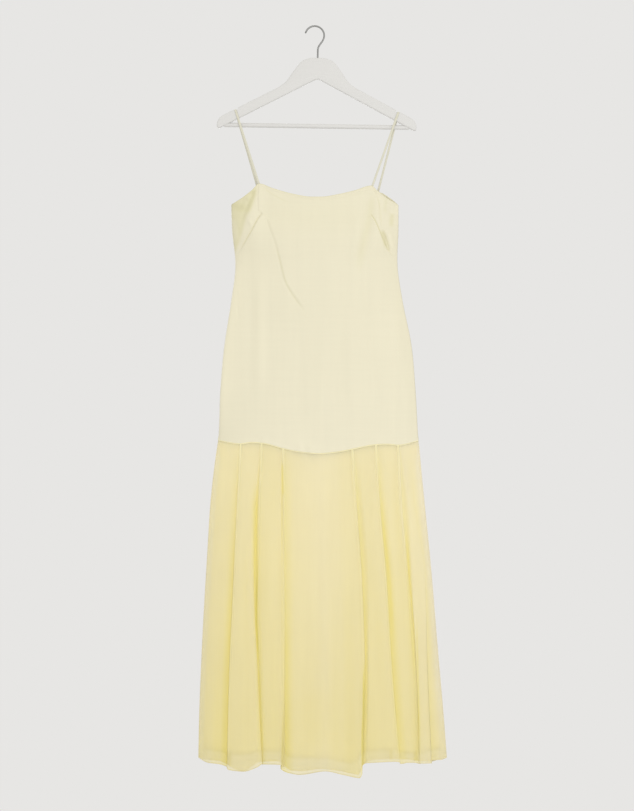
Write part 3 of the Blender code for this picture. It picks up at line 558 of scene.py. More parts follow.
class Wire:
    """A shader socket that takes part in sums: mask * 0.2 + 1 adds its Math nodes."""

    def __init__(self, nodes, socket):
        self.nodes = nodes
        self.socket = socket

    def maths(self, operation, first, second):
        return self.nodes.add("ShaderNodeMath", {"operation": operation}, {0: first, 1: second})

    def __add__(self, other):
        return self.maths("ADD", self, other)

    def __mul__(self, other):
        return self.maths("MULTIPLY", self, other)

    def __sub__(self, other):
        return self.maths("SUBTRACT", self, other)

    def __rsub__(self, other):
        return self.maths("SUBTRACT", other, self)

    __radd__, __rmul__ = __add__, __mul__

    def at_least(self, low):
        return self.maths("MAXIMUM", self, low)


def rgba(value):
    """A colour with its alpha, and a number or a wire as it is."""
    return (*value, 1) if isinstance(value, tuple) else value


class Nodes:
    """The shader of a material or of the world, and the nodes that feed it."""

    def __init__(self, owner, shader):
        owner.use_nodes = True
        self.tree = owner.node_tree
        self.shader = self.tree.nodes[shader]

    def add(self, kind, settings, inputs, output=0):
        """A node of that type with its settings, then its sockets' values or links."""
        node = self.tree.nodes.new(kind)
        for key, value in settings.items():
            if key == "stops":
                self.set_stops(node.color_ramp.elements, value)
            else:
                setattr(node, key, value)
        for key, value in inputs.items():
            if isinstance(value, Wire):
                self.tree.links.new(value.socket, node.inputs[key])
            else:
                node.inputs[key].default_value = value
        return Wire(self, node.outputs[output])

    def set_stops(self, ramp, stops):
        """Gives a new ramp, which has a stop at each end, its stops of place and colour."""
        for place, _ in stops[1:-1]:
            ramp.new(place)
        for stop, (_, colour) in zip(ramp, stops):
            stop.color = rgba(colour)

    def feed(self, socket, wire):
        self.tree.links.new(wire.socket, self.shader.inputs[socket])


BAND_WAVES = 20 / (2 * math.pi)  # bands in a unit of a wave texture of scale 1


class Finish(Nodes):
    """A material in the making."""

    def __init__(self, name, **constants):
        self.material = bpy.data.materials.new(name)
        super().__init__(self.material, "Principled BSDF")
        for key, value in constants.items():
            self.shader.inputs[key.replace("_", " ")].default_value = rgba(value)

    def uv(self):
        """The piece's UV map, which is in metres."""
        return self.add("ShaderNodeUVMap", {"uv_map": "cloth"}, {})

    def place(self):
        return self.add("ShaderNodeTexCoord", {}, {}, "Object")

    def stretched(self, *scale):
        """Object coordinates scaled by a different number along each axis."""
        return self.add("ShaderNodeMapping", {}, {"Vector": self.place(), "Scale": scale})

    def height(self):
        return self.add("ShaderNodeSeparateXYZ", {}, {"Vector": self.place()}, "Z")

    def painted(self, name):
        """A number kept at each point of the piece."""
        return self.add("ShaderNodeAttribute", {"attribute_name": name}, {}, "Fac")

    def noise(self, vector, scale=1.0, detail=2.0, roughness=0.5):
        inputs = {"Vector": vector, "Scale": scale, "Detail": detail, "Roughness": roughness}
        return self.add("ShaderNodeTexNoise", {}, inputs)

    def weave(self, pitch):
        """Warp and weft of that pitch as a height of 0 to 1."""
        inputs = {"Vector": self.uv(), "Scale": 1 / (pitch * BAND_WAVES)}
        warp = self.add("ShaderNodeTexWave", {"bands_direction": "X"}, inputs)
        weft = self.add("ShaderNodeTexWave", {"bands_direction": "Y"}, inputs)
        return warp * 0.5 + weft * 0.5

    def blend(self, factor, first, second):
        """Two colours mixed by a factor."""
        inputs = {0: factor, 6: rgba(first), 7: rgba(second)}
        return self.add("ShaderNodeMix", {"data_type": "RGBA"}, inputs, 2)

    def shades(self, spots, colour, low, high):
        """A colour that varies with the spots, between two shares of its brightness."""
        first, second = (tuple(min(1.0, c * share) for c in colour) for share in (low, high))
        return self.blend(spots, first, second)

    def tint(self, colour, factor):
        """A colour made lighter or darker by a number."""
        inputs = {0: colour, "Scale": factor}
        return self.add("ShaderNodeVectorMath", {"operation": "SCALE"}, inputs)

    def roughen(self, marks, rough):
        self.feed("Roughness", marks * 0.1 + rough)

    def bump(self, height, strength, distance):
        inputs = {"Height": height, "Strength": strength, "Distance": distance}
        self.feed("Normal", self.add("ShaderNodeBump", {}, inputs))


def chosen(name):
    return tuple(getattr(bpy.context.scene.dress_colours, name))


def satin_finish(name):
    colour = chosen("satin")
    finish = Finish(
        name, Base_Color=colour, Sheen_Weight=0.1, Sheen_Roughness=0.45, Anisotropic=0.35,
        Specular_IOR_Level=0.34,
    )
    cloud = finish.noise(finish.place(), 9.0, 3.0)
    falls = finish.noise(finish.stretched(46.0, 46.0, 3.5), detail=3.0)
    streaks = finish.noise(finish.stretched(190.0, 190.0, 9.0))
    slub_lines = finish.noise(finish.stretched(9.0, 9.0, 160.0))
    lines = falls * 0.05 + streaks * 0.02 + slub_lines * 0.03 + 0.955
    # The painted number below holds painted highlights above 0 and painted shade below 0; painted
    # shade also turns the satin yellower.
    gloss = finish.painted("gloss")
    painted_shade_colour = (colour[0], colour[1], colour[2] * 0.84)
    mixed = finish.blend(gloss * -1, finish.shades(cloud, colour, 0.985, 1.01), painted_shade_colour)
    finish.feed("Base Color", finish.tint(mixed, gloss * 0.1 + lines))
    finish.roughen(cloud, 0.38)
    slubs = finish.noise(finish.uv(), 900.0)
    ripple = finish.noise(finish.place(), 42.0)
    finish.bump(finish.weave(0.5 * MM) * 0.08 + slubs * 0.25 + ripple * 1.6, 0.3, 0.35 * MM)
    return finish.material


def shaded_strap_finish(name):
    # The straps are of the bodice's satin; their darker colour is painted shade.
    colour = chosen("strap")
    finish = Finish(name, Base_Color=colour, Sheen_Weight=0.1, Specular_IOR_Level=0.4)
    cloud = finish.noise(finish.place(), 120.0)
    finish.feed("Base Color", finish.shades(cloud, colour, 0.94, 1.04))
    finish.roughen(cloud, 0.42)
    finish.bump(finish.weave(0.5 * MM), 0.25, 0.3 * MM)
    return finish.material


SEAM_HEIGHT = -0.93
TOP_SHADE = 0.984  # painted shade by height: how bright the chiffon is at the drop waist
SHADE_PER_METRE = 0.1  # and how much darker it gets down to its hem
SEAM_TO_HEM = 1.2  # how fast the doubled chiffon's colour goes from the seams' to the hem's, darker with painted shade lower down
UNLINED_TONE, UNLINED_SHADE = 0.08, 0.012  # what the chiffon loses without its lining: yellow, and brightness as painted shade
SHUT_TONE = 1.3  # yellow above this is a fold shut tight, which is denser and darker by painted shade
SHUT_SHADE, SHUT_COVER = 0.16, 0.28
DOUBLED_COVER = 0.95


def chiffon_finish(name):
    pale, cover = chosen("chiffon"), bpy.context.scene.dress_sizes.chiffon_alpha
    finish = Finish(
        name, Base_Color=pale, Alpha=cover, Sheen_Weight=0.2, Sheen_Roughness=0.6,
        Specular_IOR_Level=0.2,
    )
    unlined, doubled = finish.painted("unlined"), finish.painted("doubled")
    # fold is painted shade: deeper yellow inside the folds
    fold = finish.painted("fold") - unlined * UNLINED_TONE
    shut = (fold - SHUT_TONE).at_least(0.0)
    fall = (SEAM_HEIGHT - finish.height()) * SEAM_TO_HEM
    doubled_colour = finish.blend(fall, chosen("chiffon_seam"), chosen("chiffon_hem"))
    single_colour = finish.blend(fold, pale, chosen("chiffon_deep"))
    colour = finish.blend(doubled, single_colour, doubled_colour)
    cloud = finish.noise(finish.place(), 7.0, 3.0)
    streaks = finish.noise(finish.stretched(60.0, 60.0, 3.0), detail=3.0)
    fine = finish.noise(finish.stretched(330.0, 330.0, 8.0))
    mottle = cloud * 0.05 + streaks * 0.06 + fine * 0.04 + 0.925
    # painted shade: darker down the skirt, where it is unlined, and in folds shut tight
    lower = finish.height() * SHADE_PER_METRE + (TOP_SHADE - SHADE_PER_METRE * SEAM_HEIGHT)
    painted_shade = lower * (1 - unlined * UNLINED_SHADE) * (1 - shut * SHUT_SHADE)
    finish.feed("Base Color", finish.tint(colour, mottle * painted_shade))
    finish.feed("Alpha", doubled * (DOUBLED_COVER - cover) + shut * SHUT_COVER + cover)
    finish.roughen(cloud, 0.72)
    crepe = finish.noise(finish.uv(), 1500.0, roughness=0.6)
    finish.bump(finish.weave(0.55 * MM) * 0.12 + crepe * 0.6, 0.35, 0.3 * MM)
    return finish.material


def lining_finish(name):
    colour = chosen("lining")
    finish = Finish(name, Base_Color=colour, Sheen_Weight=0.1, Specular_IOR_Level=0.3)
    cloud = finish.noise(finish.place(), 8.0)
    finish.feed("Base Color", finish.shades(cloud, colour, 0.97, 1.02))
    finish.roughen(cloud, 0.55)
    finish.feed("Alpha", 1 - finish.painted("low"))
    finish.bump(finish.weave(0.4 * MM), 0.2, 0.2 * MM)
    return finish.material


def paint_finish(name):
    colour = chosen("paint")
    finish = Finish(name, Base_Color=colour, Specular_IOR_Level=0.35)
    grain = finish.noise(finish.stretched(1.0, 6.0, 7.0), 34.0, 4.0, 0.6)
    brush = finish.noise(finish.place(), 160.0)
    finish.feed("Base Color", finish.shades(grain, colour, 0.97, 1.02))
    finish.roughen(brush, 0.42)
    finish.bump(grain * 0.8 + brush * 0.2, 0.08, 0.4 * MM)
    return finish.material


def steel_finish(name):
    colour = chosen("steel")
    finish = Finish(name, Base_Color=colour, Metallic=1.0)
    drawn = finish.noise(finish.stretched(1.0, 1.0, 0.15), 1400.0)
    spots = finish.noise(finish.place(), 60.0)
    finish.feed("Base Color", finish.shades(spots, colour, 0.9, 1.05))
    finish.roughen(drawn, 0.26)
    finish.bump(drawn, 0.05, 0.05 * MM)
    return finish.material


# Curves and rings


def smooth_at(knots, values, at):
    """A smooth curve through the values at the knots."""
    knots, values = np.asarray(knots, float), np.asarray(values, float)
    return hermite(knots, values, np.gradient(values, knots), at)


def steady_at(knots, values, at):
    """As smooth_at, along the last axis of values, without passing their highs and lows."""
    knots, values = np.asarray(knots, float), np.asarray(values, float)
    rise = np.diff(values, axis=-1) / np.diff(knots)
    before, after = rise[..., :-1], rise[..., 1:]
    same = before * after > 0
    mean = 2 * before * after / np.where(same, before + after, 1)
    inner = np.where(same, mean, 0)
    slopes = np.concatenate([rise[..., :1], inner, rise[..., -1:]], axis=-1)
    return hermite(knots, values, slopes, at)


def hermite(knots, values, slopes, at):
    at = np.clip(at, knots[0], knots[-1])
    i = np.clip(np.searchsorted(knots, at) - 1, 0, len(knots) - 2)
    step = knots[i + 1] - knots[i]
    t = (at - knots[i]) / step
    return (
        (2 * t**3 - 3 * t**2 + 1) * values[..., i]
        + (t**3 - 2 * t**2 + t) * step * slopes[..., i]
        + (3 * t**2 - 2 * t**3) * values[..., i + 1]
        + (t**3 - t**2) * step * slopes[..., i + 1]
    )


def ease(share):
    share = np.clip(share, 0, 1)
    return share * share * (3 - 2 * share)


def hump(far, width):
    return np.exp(-((far / width) ** 2))


def summed(steps):
    """How far along each point lies, from the steps between them."""
    return np.concatenate([[0], np.cumsum(steps)])


def unit(vectors):
    return vectors / np.linalg.norm(vectors, axis=-1, keepdims=True)


def column(rows, name):
    return np.array([getattr(row, name) for row in rows], float)


def edge_drop(edge, x):
    return steady_at(column(edge, "x"), column(edge, "drop"), x)


def outline_at(drop):
    """The ring's left, right, front depth and back depth at a drop."""
    drops = column(SECTIONS, "drop")
    return [smooth_at(drops, column(SECTIONS, n), drop) for n in Section._fields[1:]]


def between(left, right, across, inset=0.0):
    """x at shares across, from -1 at the left to 1 at the right."""
    return (left + right) / 2 + across * ((right - left) / 2 - inset)


def ring_x(drop, across, inset=0.0):
    return between(*outline_at(drop)[:2], across, inset)


def ring_points(x, drop, out, front, inset=0.0):
    """Points of the garment's ring, in metres, from arrays of x, drop and out."""
    left, right, front_depth, back_depth = outline_at(drop)
    half = (right - left) / 2 - inset
    across = np.clip((x - (left + right) / 2) / half, -1, 1)
    depth = (front_depth if front else back_depth) - inset
    plain = depth * (1 - np.abs(across) ** FLATNESS) ** (1 / FLATNESS)
    deep = plain + out * (1 - np.abs(across) ** SIDE_FADE)
    x = (left + right) / 2 + across * half
    return np.stack([x, -deep if front else deep, -drop + 0 * x], axis=-1) * MM


def level_normals(grid, front):
    """Level normals of each row of a grid, facing out of the garment."""
    along = np.gradient(grid, axis=1) * (1 if front else -1)
    normals = np.stack([along[..., 1], -along[..., 0], 0 * along[..., 0]], axis=-1)
    size = np.linalg.norm(normals, axis=-1, keepdims=True)
    return normals / np.maximum(size, 1e-9)


# Meshes


def deselect():
    if bpy.context.object and bpy.context.object.mode != "OBJECT":
        bpy.ops.object.mode_set(mode="OBJECT")
    bpy.ops.object.select_all(action="DESELECT")


def pick(piece):
    deselect()
    piece.select_set(True)
    bpy.context.view_layer.objects.active = piece


def settle(piece):
    """Puts the piece's place, turn and scale into its mesh."""
    pick(piece)
    bpy.ops.object.transform_apply(location=True, rotation=True, scale=True)


def modify(piece, name, kind, **settings):
    """Adds a modifier with its settings and applies it."""
    modifier = piece.modifiers.new(name, kind)
    for key, value in settings.items():
        setattr(modifier, key, value)
    pick(piece)
    bpy.ops.object.modifier_apply(modifier=modifier.name)


def smooth_piece(name, mesh, material):
    mesh.materials.append(material)
    mesh.shade_smooth()
    piece = bpy.data.objects.new(name, mesh)
    bpy.context.scene.collection.objects.link(piece)
    return piece


def flat_map(grid):
    """UVs in metres: how far along its row each point is, and how far down its column."""
    u = summed(np.linalg.norm(np.diff(grid, axis=1), axis=-1).mean(axis=0))
    v = summed(np.linalg.norm(np.diff(grid, axis=0), axis=-1).mean(axis=1))
    return np.stack(np.meshgrid(u, -v), axis=-1)


def grid_piece(name, grid, material, front):
    """A smooth mesh on a grid of points, with a UV map in metres."""
    rows, columns = grid.shape[:2]
    index = np.arange(rows * columns).reshape(rows, columns)
    a, b, c, d = index[:-1, :-1], index[1:, :-1], index[1:, 1:], index[:-1, 1:]
    faces = np.stack([a, b, c, d] if front else [a, d, c, b], axis=-1).reshape(-1, 4)
    mesh = bpy.data.meshes.new(name)
    mesh.from_pydata(grid.reshape(-1, 3).tolist(), [], faces.tolist())
    layer = mesh.uv_layers.new(name="cloth")
    loops = np.zeros(len(mesh.loops), int)
    mesh.loops.foreach_get("vertex_index", loops)
    layer.data.foreach_set("uv", flat_map(grid).reshape(-1, 2)[loops].ravel().astype(np.float32))
    return smooth_piece(name, mesh, material)


def tube(name, path, across, up, material):
    """A closed tube whose oval section has its long side along across."""
    sides, count = STRAP_SIDES, len(path)
    turn = 2 * math.pi * np.arange(sides)[None, :, None] / sides
    rings = path[:, None] + across[:, None] * np.cos(turn) + up[:, None] * np.sin(turn)
    points = np.concatenate([rings.reshape(-1, 3), path[[0, -1]]])
    pairs = [(s, (s + 1) % sides) for s in range(sides)]
    start, end, last = count * sides, count * sides + 1, (count - 1) * sides
    faces = []
    for i in range(0, last, sides):
        faces += [(i + s, i + t, i + sides + t, i + sides + s) for s, t in pairs]
    for s, t in pairs:
        faces += [(t, s, start), (end, last + s, last + t)]
    mesh = bpy.data.meshes.new(name)
    mesh.from_pydata(points.tolist(), [], faces)
    work = bmesh.new()
    work.from_mesh(mesh)
    bmesh.ops.recalc_face_normals(work, faces=work.faces)
    layer = work.loops.layers.uv.new("cloth")
    length = summed(np.linalg.norm(np.diff(path, axis=0), axis=1))
    width = np.linalg.norm(across, axis=1).mean() * 2 * math.pi / sides
    for face in work.faces:
        for loop in face.loops:
            spot = loop.vert.index
            loop[layer].uv = (spot % sides * width, length[min(spot // sides, count - 1)])
    work.to_mesh(mesh)
    work.free()
    return smooth_piece(name, mesh, material)


def hand_over(piece, node):
    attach(piece, "root")
    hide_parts(node)


def drape(name, node, grid, looks, half, wall, material):
    """A sheet of cloth on a grid of points, with the numbers that its finish reads."""
    cloth = grid_piece(name, grid, material, half.front)
    for look, numbers in looks.items():
        layer = cloth.data.attributes.new(look, "FLOAT", "POINT")
        layer.data.foreach_set("value", numbers.ravel().astype(np.float32))
    modify(cloth, "Wall", "SOLIDIFY", thickness=wall, offset=0, use_rim=True)
    hand_over(cloth, node)


# Hanger


def fillet(before, corner, after, radius, steps):
    """Points of an arc that rounds a corner of an outline."""
    corner = np.array(corner)
    back, on = unit(before - corner), unit(after - corner)
    half = math.acos(np.clip(back @ on, -1, 1)) / 2
    centre = corner + unit(back + on) * radius / math.sin(half)
    start, end = (corner + way * radius / math.tan(half) - centre for way in (back, on))
    sweep = math.pi - 2 * half
    t = np.linspace(0, 1, steps + 1)[:, None]
    arc = (np.sin((1 - t) * sweep) * start + np.sin(t * sweep) * end) / math.sin(sweep)
    return (centre + arc).tolist()


def board_outline():
    """The board's outline, level, from the middle of the crown round by the right."""
    crown_x, crown_z = np.transpose(CROWN) * [[MM], [-MM]]
    crown_xs = np.linspace(0, crown_x[-1], CROWN_POINTS)
    crown = [(x, smooth_at(crown_x, crown_z, x)) for x in crown_xs]
    slope = math.tan(ARM_SLOPE)
    corner = (HANGER_HALF, crown_z[-1] - (HANGER_HALF - crown_x[-1]) * slope)
    low = (HANGER_HALF, -ARM_END_DROP)
    turn = ((ARM_END_DROP - APEX_DROP) / slope, -ARM_END_DROP)
    apex = (0, -APEX_DROP)
    half = crown + fillet(crown[-1], corner, low, SHOULDER_RADIUS, 16)
    half += fillet(corner, low, turn, TIP_RADIUS, 8)
    half += fillet(low, turn, apex, UNDER_RADIUS, 4)
    middle = fillet(turn, apex, (-turn[0], turn[1]), APEX_RADIUS, 12)
    return half + middle + [(-x, z) for x, z in half[:0:-1]]


def drill(body, radius, depth, x, drop, turn=(0, 0, 0)):
    """Cuts a round hole or groove out of a body."""
    deselect()
    bpy.ops.mesh.primitive_cylinder_add(
        vertices=40, radius=radius, depth=depth, location=(x, 0, -drop), rotation=turn
    )
    cutter = bpy.context.object
    modify(body, "Hole", "BOOLEAN", operation="DIFFERENCE", solver="EXACT", object=cutter)
    bpy.data.objects.remove(cutter, do_unlink=True)


def round_edges(piece, width, segments):
    limit = {"limit_method": "ANGLE", "angle_limit": SHARP_ABOVE}
    modify(piece, "Rounding", "BEVEL", width=width, segments=segments, **limit)


def hang(piece, node, finish_name, build, smooth_below):
    """Tilts a finished piece of the hanger and gives it its finish, which pieces share."""
    settle(piece)
    piece.data.transform(Matrix.Rotation(TILT, 4, "Y"))
    piece.data.materials.append(bpy.data.materials.get(finish_name) or build(finish_name))
    bpy.ops.object.shade_smooth_by_angle(angle=math.radians(smooth_below))
    hand_over(piece, node)


class DRESS_OT_hanger_board(bpy.types.Operator):
    """Saw the board from its outline, round its edges and cut its notches"""

    bl_idname = "dress.hanger_board"
    bl_label = "Hanger board"

    def execute(self, context):
        outline = board_outline()
        deselect()
        bpy.ops.mesh.primitive_circle_add(vertices=len(outline), radius=0.2, fill_type="NGON")
        board = context.object
        board.name = board.data.name = "wooden_board"
        for vertex, (x, z) in zip(board.data.vertices, outline):
            vertex.co = (HANGER_CENTRE + x, -BOARD / 2, z)
        bpy.ops.object.mode_set(mode="EDIT")
        bpy.ops.mesh.select_all(action="SELECT")
        bpy.ops.mesh.extrude_region_move(TRANSFORM_OT_translate={"value": (0, BOARD, 0)})
        bpy.ops.mesh.select_all(action="SELECT")
        bpy.ops.mesh.normals_make_consistent(inside=False)
        bpy.ops.object.mode_set(mode="OBJECT")
        round_edges(board, BOARD_ROUNDING, 5)
        quarter = math.pi / 2
        for out in (-NOTCH_OUT, NOTCH_OUT):
            place = HANGER_CENTRE + out, NOTCH_DROP
            drill(board, NOTCH_RADIUS, 3 * BOARD, *place, turn=(quarter, 0, 0))
        radius, depth = BAR_DIAMETER / 2 + CLEAR, 2 * (BAR_HALF + CLEAR)
        drill(board, radius, depth, HANGER_CENTRE, BAR_DROP, turn=(0, quarter, 0))
        radius = context.scene.dress_sizes.wire / 2 + CLEAR
        drill(board, radius, 2 * SHANK_DEPTH, HANGER_CENTRE, CROWN_DROP)
        hang(board, "hanger_body", "painted wood finish", paint_finish, 32)
        return {"FINISHED"}


class DRESS_OT_hanger_bar(bpy.types.Operator):
    """Turn the round bar between the arms"""

    bl_idname = "dress.hanger_bar"
    bl_label = "Hanger bar"

    def execute(self, context):
        deselect()
        bpy.ops.mesh.primitive_cylinder_add(
            vertices=48,
            radius=BAR_DIAMETER / 2,
            depth=2 * BAR_HALF,
            end_fill_type="NGON",
            location=(HANGER_CENTRE, 0, -BAR_DROP),
            rotation=(0, math.pi / 2, 0),
        )
        bar = context.object
        bar.name = bar.data.name = "round_bar"
        settle(bar)
        round_edges(bar, BAR_ROUNDING, 3)
        hang(bar, "hanger_bar", "painted wood finish", paint_finish, 40)
        return {"FINISHED"}


def hook_path(wire):
    """Middle of the wire: its foot in the board, its neck and its arc."""
    turn = np.linspace(HOOK_FROM, HOOK_TO, HOOK_POINTS)
    high = wire / 2 - HOOK_RADIUS + HOOK_RADIUS * np.sin(turn)
    arc = np.stack([HOOK_RADIUS * np.cos(turn), 0 * turn, high], axis=1)
    low = np.array([HANGER_CENTRE, 0, -SHANK_TOP_DROP])
    lean = np.array([-math.sin(HOOK_FROM), 0, math.cos(HOOK_FROM)])
    pulls = (low, low + (0, 0, NECK_PULL), arc[0] - lean * NECK_PULL, arc[0])
    t = np.linspace(0, 1, NECK_POINTS)[:-1, None]
    weights = ((1 - t) ** 3, 3 * (1 - t) ** 2 * t, 3 * (1 - t) * t**2, t**3)
    neck = sum(weight * pull for weight, pull in zip(weights, pulls))
    return np.concatenate([[(HANGER_CENTRE, 0, -CROWN_DROP - SHANK_DEPTH)], neck, arc])


class DRESS_OT_hanger_hook(bpy.types.Operator):
    """Bend the wire hook"""

    bl_idname = "dress.hanger_hook"
    bl_label = "Hanger hook"

    def execute(self, context):
        wire = context.scene.dress_sizes.wire
        path = hook_path(wire)
        deselect()
        bpy.ops.curve.primitive_nurbs_path_add()
        hook = context.object
        hook.name = "wire_hook"
        curve = hook.data
        curve.splines.clear()
        spline = curve.splines.new("POLY")
        spline.points.add(len(path) - 1)
        for spot, point in zip(spline.points, path):
            spot.co = (*point, 1)
            near_end = max(0.0, 1 - np.linalg.norm(point - path[-1]) / (wire / 2))
            spot.radius = math.sqrt(max(WIRE_TIP, 1 - near_end**2))  # its end is rounded over
        curve.dimensions = "3D"
        curve.bevel_depth = wire / 2
        curve.bevel_resolution = 6
        curve.use_fill_caps = True
        pick(hook)
        bpy.ops.object.convert(target="MESH")
        hang(context.object, "hanger_hook", "steel wire finish", steel_finish, 40)
        return {"FINISHED"}


# Straps


def strap_end(x, top, half):
    """Where a strap is sewn on: the end of its lap inside the bodice, and the edge."""
    x, drops = np.full(2, float(x)), np.array([top + STRAP_LAP, float(top - STRAP_RISE)])
    out = bodice_relief(x, drops, half) if half.front else 0.0
    ends = ring_points(x, drops, out, half.front)
    ends[:, 1] += STRAP_INSIDE * (1 if half.front else -1)
    return ends


def strap_path(strap, width):
    """Centre line of a strap: up the front, over the notch and down the back."""
    level_x = HANGER_CENTRE + (-NOTCH_OUT if strap.side == "left" else NOTCH_OUT)
    x = level_x * math.cos(TILT) - NOTCH_DROP * math.sin(TILT)
    z = -level_x * math.sin(TILT) - NOTCH_DROP * math.cos(TILT)
    floor = z - math.sqrt(NOTCH_RADIUS**2 - (width / 2 + CLEAR) ** 2) + CLEAR
    flat = BOARD / 2 + CLEAR + STRAP_THICKNESS / 2 - STRAP_BEND
    turn = np.linspace(0, math.pi, STRAP_TURN_POINTS)
    y = np.where(turn <= math.pi / 2, -flat, flat) - STRAP_BEND * np.cos(turn)
    over = floor + STRAP_THICKNESS / 2 - STRAP_BEND * (1 - np.sin(turn))
    arc = np.stack([x + 0 * turn, y, over], axis=1)
    front = strap_end(strap.front_x, strap.front_top, FRONT)
    back = strap_end(strap.back_x, strap.back_top, BACK)
    runs = np.linspace(0, 1, STRAP_RUN_POINTS)[1:-1, None]
    up = front[1] + (arc[0] - front[1]) * runs
    down = arc[-1] + (back[1] - arc[-1]) * runs
    return np.concatenate([front, up, arc, down, back[::-1]])


class DRESS_OT_straps(bpy.types.Operator):
    """Sew the two narrow straps over the hanger"""

    bl_idname = "dress.straps"
    bl_label = "Straps"

    def execute(self, context):
        width = context.scene.dress_sizes.strap_width
        satin = shaded_strap_finish("strap satin finish")
        for strap in STRAPS:
            path = strap_path(strap, width)
            along = np.gradient(path, axis=0)
            crest = np.maximum(path[:, 2] - path[:, 2].max() + STRAP_CREST, 0) * 2
            across = np.cross(along, np.stack([0 * crest, path[:, 1], crest], axis=1))
            across[:, 1] = 0
            across = unit(across)
            across[across[:, 0] < 0] *= -1
            up = unit(np.cross(across, along)) * STRAP_THICKNESS / 2
            loop = tube(f"strap_{strap.side}_loop", path, across * width / 2, up, satin)
            hand_over(loop, f"strap_{strap.side}")
        return {"FINISHED"}


# Bodice

LINE_STEPS = 4  # points that a line is smoothed into, for each of its own


def nearest(line, x, drop):
    """For each x and drop: how far the line is, the same with a sign, which is above 0 right
    of it, and what share of the line lies before the nearest point."""
    line = np.array(line, float)
    knots = summed(np.linalg.norm(np.diff(line, axis=0), axis=1))
    fine = np.linspace(0, knots[-1], LINE_STEPS * len(line))
    line = np.stack([smooth_at(knots, line[:, 0], fine), smooth_at(knots, line[:, 1], fine)], 1)
    best = np.full(np.shape(x), np.inf)
    signed = np.zeros_like(best)
    share = np.zeros_like(best)
    for i, (a, b) in enumerate(zip(line, line[1:])):
        run = b - a
        t = np.clip(((x - a[0]) * run[0] + (drop - a[1]) * run[1]) / (run @ run), 0, 1)
        dx, dd = x - a[0] - run[0] * t, drop - a[1] - run[1] * t
        far = np.hypot(dx, dd)
        near = far < best
        best = np.where(near, far, best)
        signed = np.where(near, np.sign(dx * run[1] - dd * run[0]) * far, signed)
        share = np.where(near, (i + t) / (len(line) - 1), share)
    return best, signed, share


def faded(share, fade_in, fade_out):
    """1 along a line, and less over those shares of it at its ends."""
    fade = np.ones_like(share)
    if fade_in:
        fade = fade * ease(share / fade_in)
    if fade_out:
        fade = fade * ease((1 - share) / fade_out)
    return fade


def stroked(strokes, fades, x, drop):
    """What all the strokes add at each x and drop."""
    total = 0
    for stroke in strokes:
        far, _, share = nearest(stroke.line, x, drop)
        total = total + stroke.amount * hump(far, stroke.width) * faded(share, *fades)
    return total


def relief_of(crease, x, drop):
    """How far one crease moves the cloth at each x and drop."""
    far, signed, share = nearest(crease.line, x, drop)
    ridge = crease.out * hump(far, crease.width)
    lift = crease.step * np.tanh(signed / crease.width) * hump(far, crease.reach) / 2
    return (ridge + lift) * faded(share, crease.fade_in, crease.fade_out)


def bodice_relief(x, drop, half):
    out = sum(relief_of(crease, x, drop) for crease in half.creases)
    for swell in half.swells:
        far = ((x - swell.x) / swell.across) ** 2 + ((drop - swell.drop) / swell.down) ** 2
        out = out + swell.out * np.exp(-far)
    return out


def spaced(bands):
    """Stations of bands of (start, count), each of which ends where the next one starts."""
    parts = [
        np.linspace(start, end, count, endpoint=False)
        for (start, count), (end, _) in zip(bands, bands[1:])
    ]
    return np.concatenate([*parts, [bands[-1][0]]])


def bodice_grid(half):
    """The bodice's half, from the low edge of its facing, over the top edge, to the seam:
    its points, and the painted highlights and painted shade on its satin."""
    across, rows = spaced(half.columns), spaced(half.rows)[:, None]
    low = edge_drop(half.seam, ring_x(half.seam[0].drop, across))
    high = edge_drop(half.top, ring_x(half.top[0].drop, across))
    drop = high + (low - high) * rows
    x = ring_x(drop, across)
    above, below = low - drop, drop - high  # above the seam and below the top edge
    out = bodice_relief(x, drop, half) + EDGE_LAP * ease(1 - above / EDGE_REACH)
    out = out - EDGE_TURN * hump(above, EDGE_WIDTH)
    for middle, width, height in TOP_RIBS:
        out = out + height * hump(below - middle, width)
    outer = ring_points(x, drop, out, half.front)
    inward = -level_normals(outer, half.front)[0] * FACING_IN
    facing = []
    for depth in FACING:
        relief = bodice_relief(x[0], high + depth, half)
        facing.append(ring_points(x[0], high + depth, relief, half.front) + inward)
    edge = outer[0] + inward / 2 + (0, 0, FACING_UP)
    grid = np.concatenate([facing, [edge], outer])
    # painted highlight and painted shade on the satin: along its edges, and from the table of
    # strokes
    gloss = SEAM_EDGE_HIGHLIGHT * hump(above, PAINTED_EDGE_WIDTH) + TOP_EDGE_SHADE * hump(below, PAINTED_EDGE_WIDTH)
    gloss = gloss + stroked(half.shines, PAINTED_LIGHT_FADES, x, drop)
    if half.front:
        # painted shade on the left cup, left of its line
        gloss = gloss - LEFT_CUP_SHADE * ease(0.5 - nearest(LEFT_CUP_SHADE_LINE, x, drop)[1] / LEFT_CUP_SHADE_WIDTH)
    facing_rows = len(FACING) + 1
    gloss = np.concatenate([gloss[:1].repeat(facing_rows, axis=0), gloss])
    groove = SIDE_GROOVE * hump((1 - np.abs(across)) * HALF_WIDTH, GROOVE_WIDTH)
    depth = np.concatenate([np.ones(facing_rows), ease(above[:, 0] / GROOVE_END)])
    grid[:, :, 0] -= depth[:, None] * np.sign(across) * groove
    return grid, gloss


class DRESS_OT_bodice(bpy.types.Operator):
    """Drape the satin bodice's front and back"""

    bl_idname = "dress.bodice"
    bl_label = "Bodice"

    def execute(self, context):
        wall, satin = context.scene.dress_sizes.satin_wall, satin_finish("satin finish")
        for half in (FRONT, BACK):
            grid, gloss = bodice_grid(half)
            name = f"bodice_{half.name}"
            drape(
                f"{name}_satin", name, grid, {"gloss": gloss}, half, wall, satin,
            )
        return {"FINISHED"}


# Skirt and lining


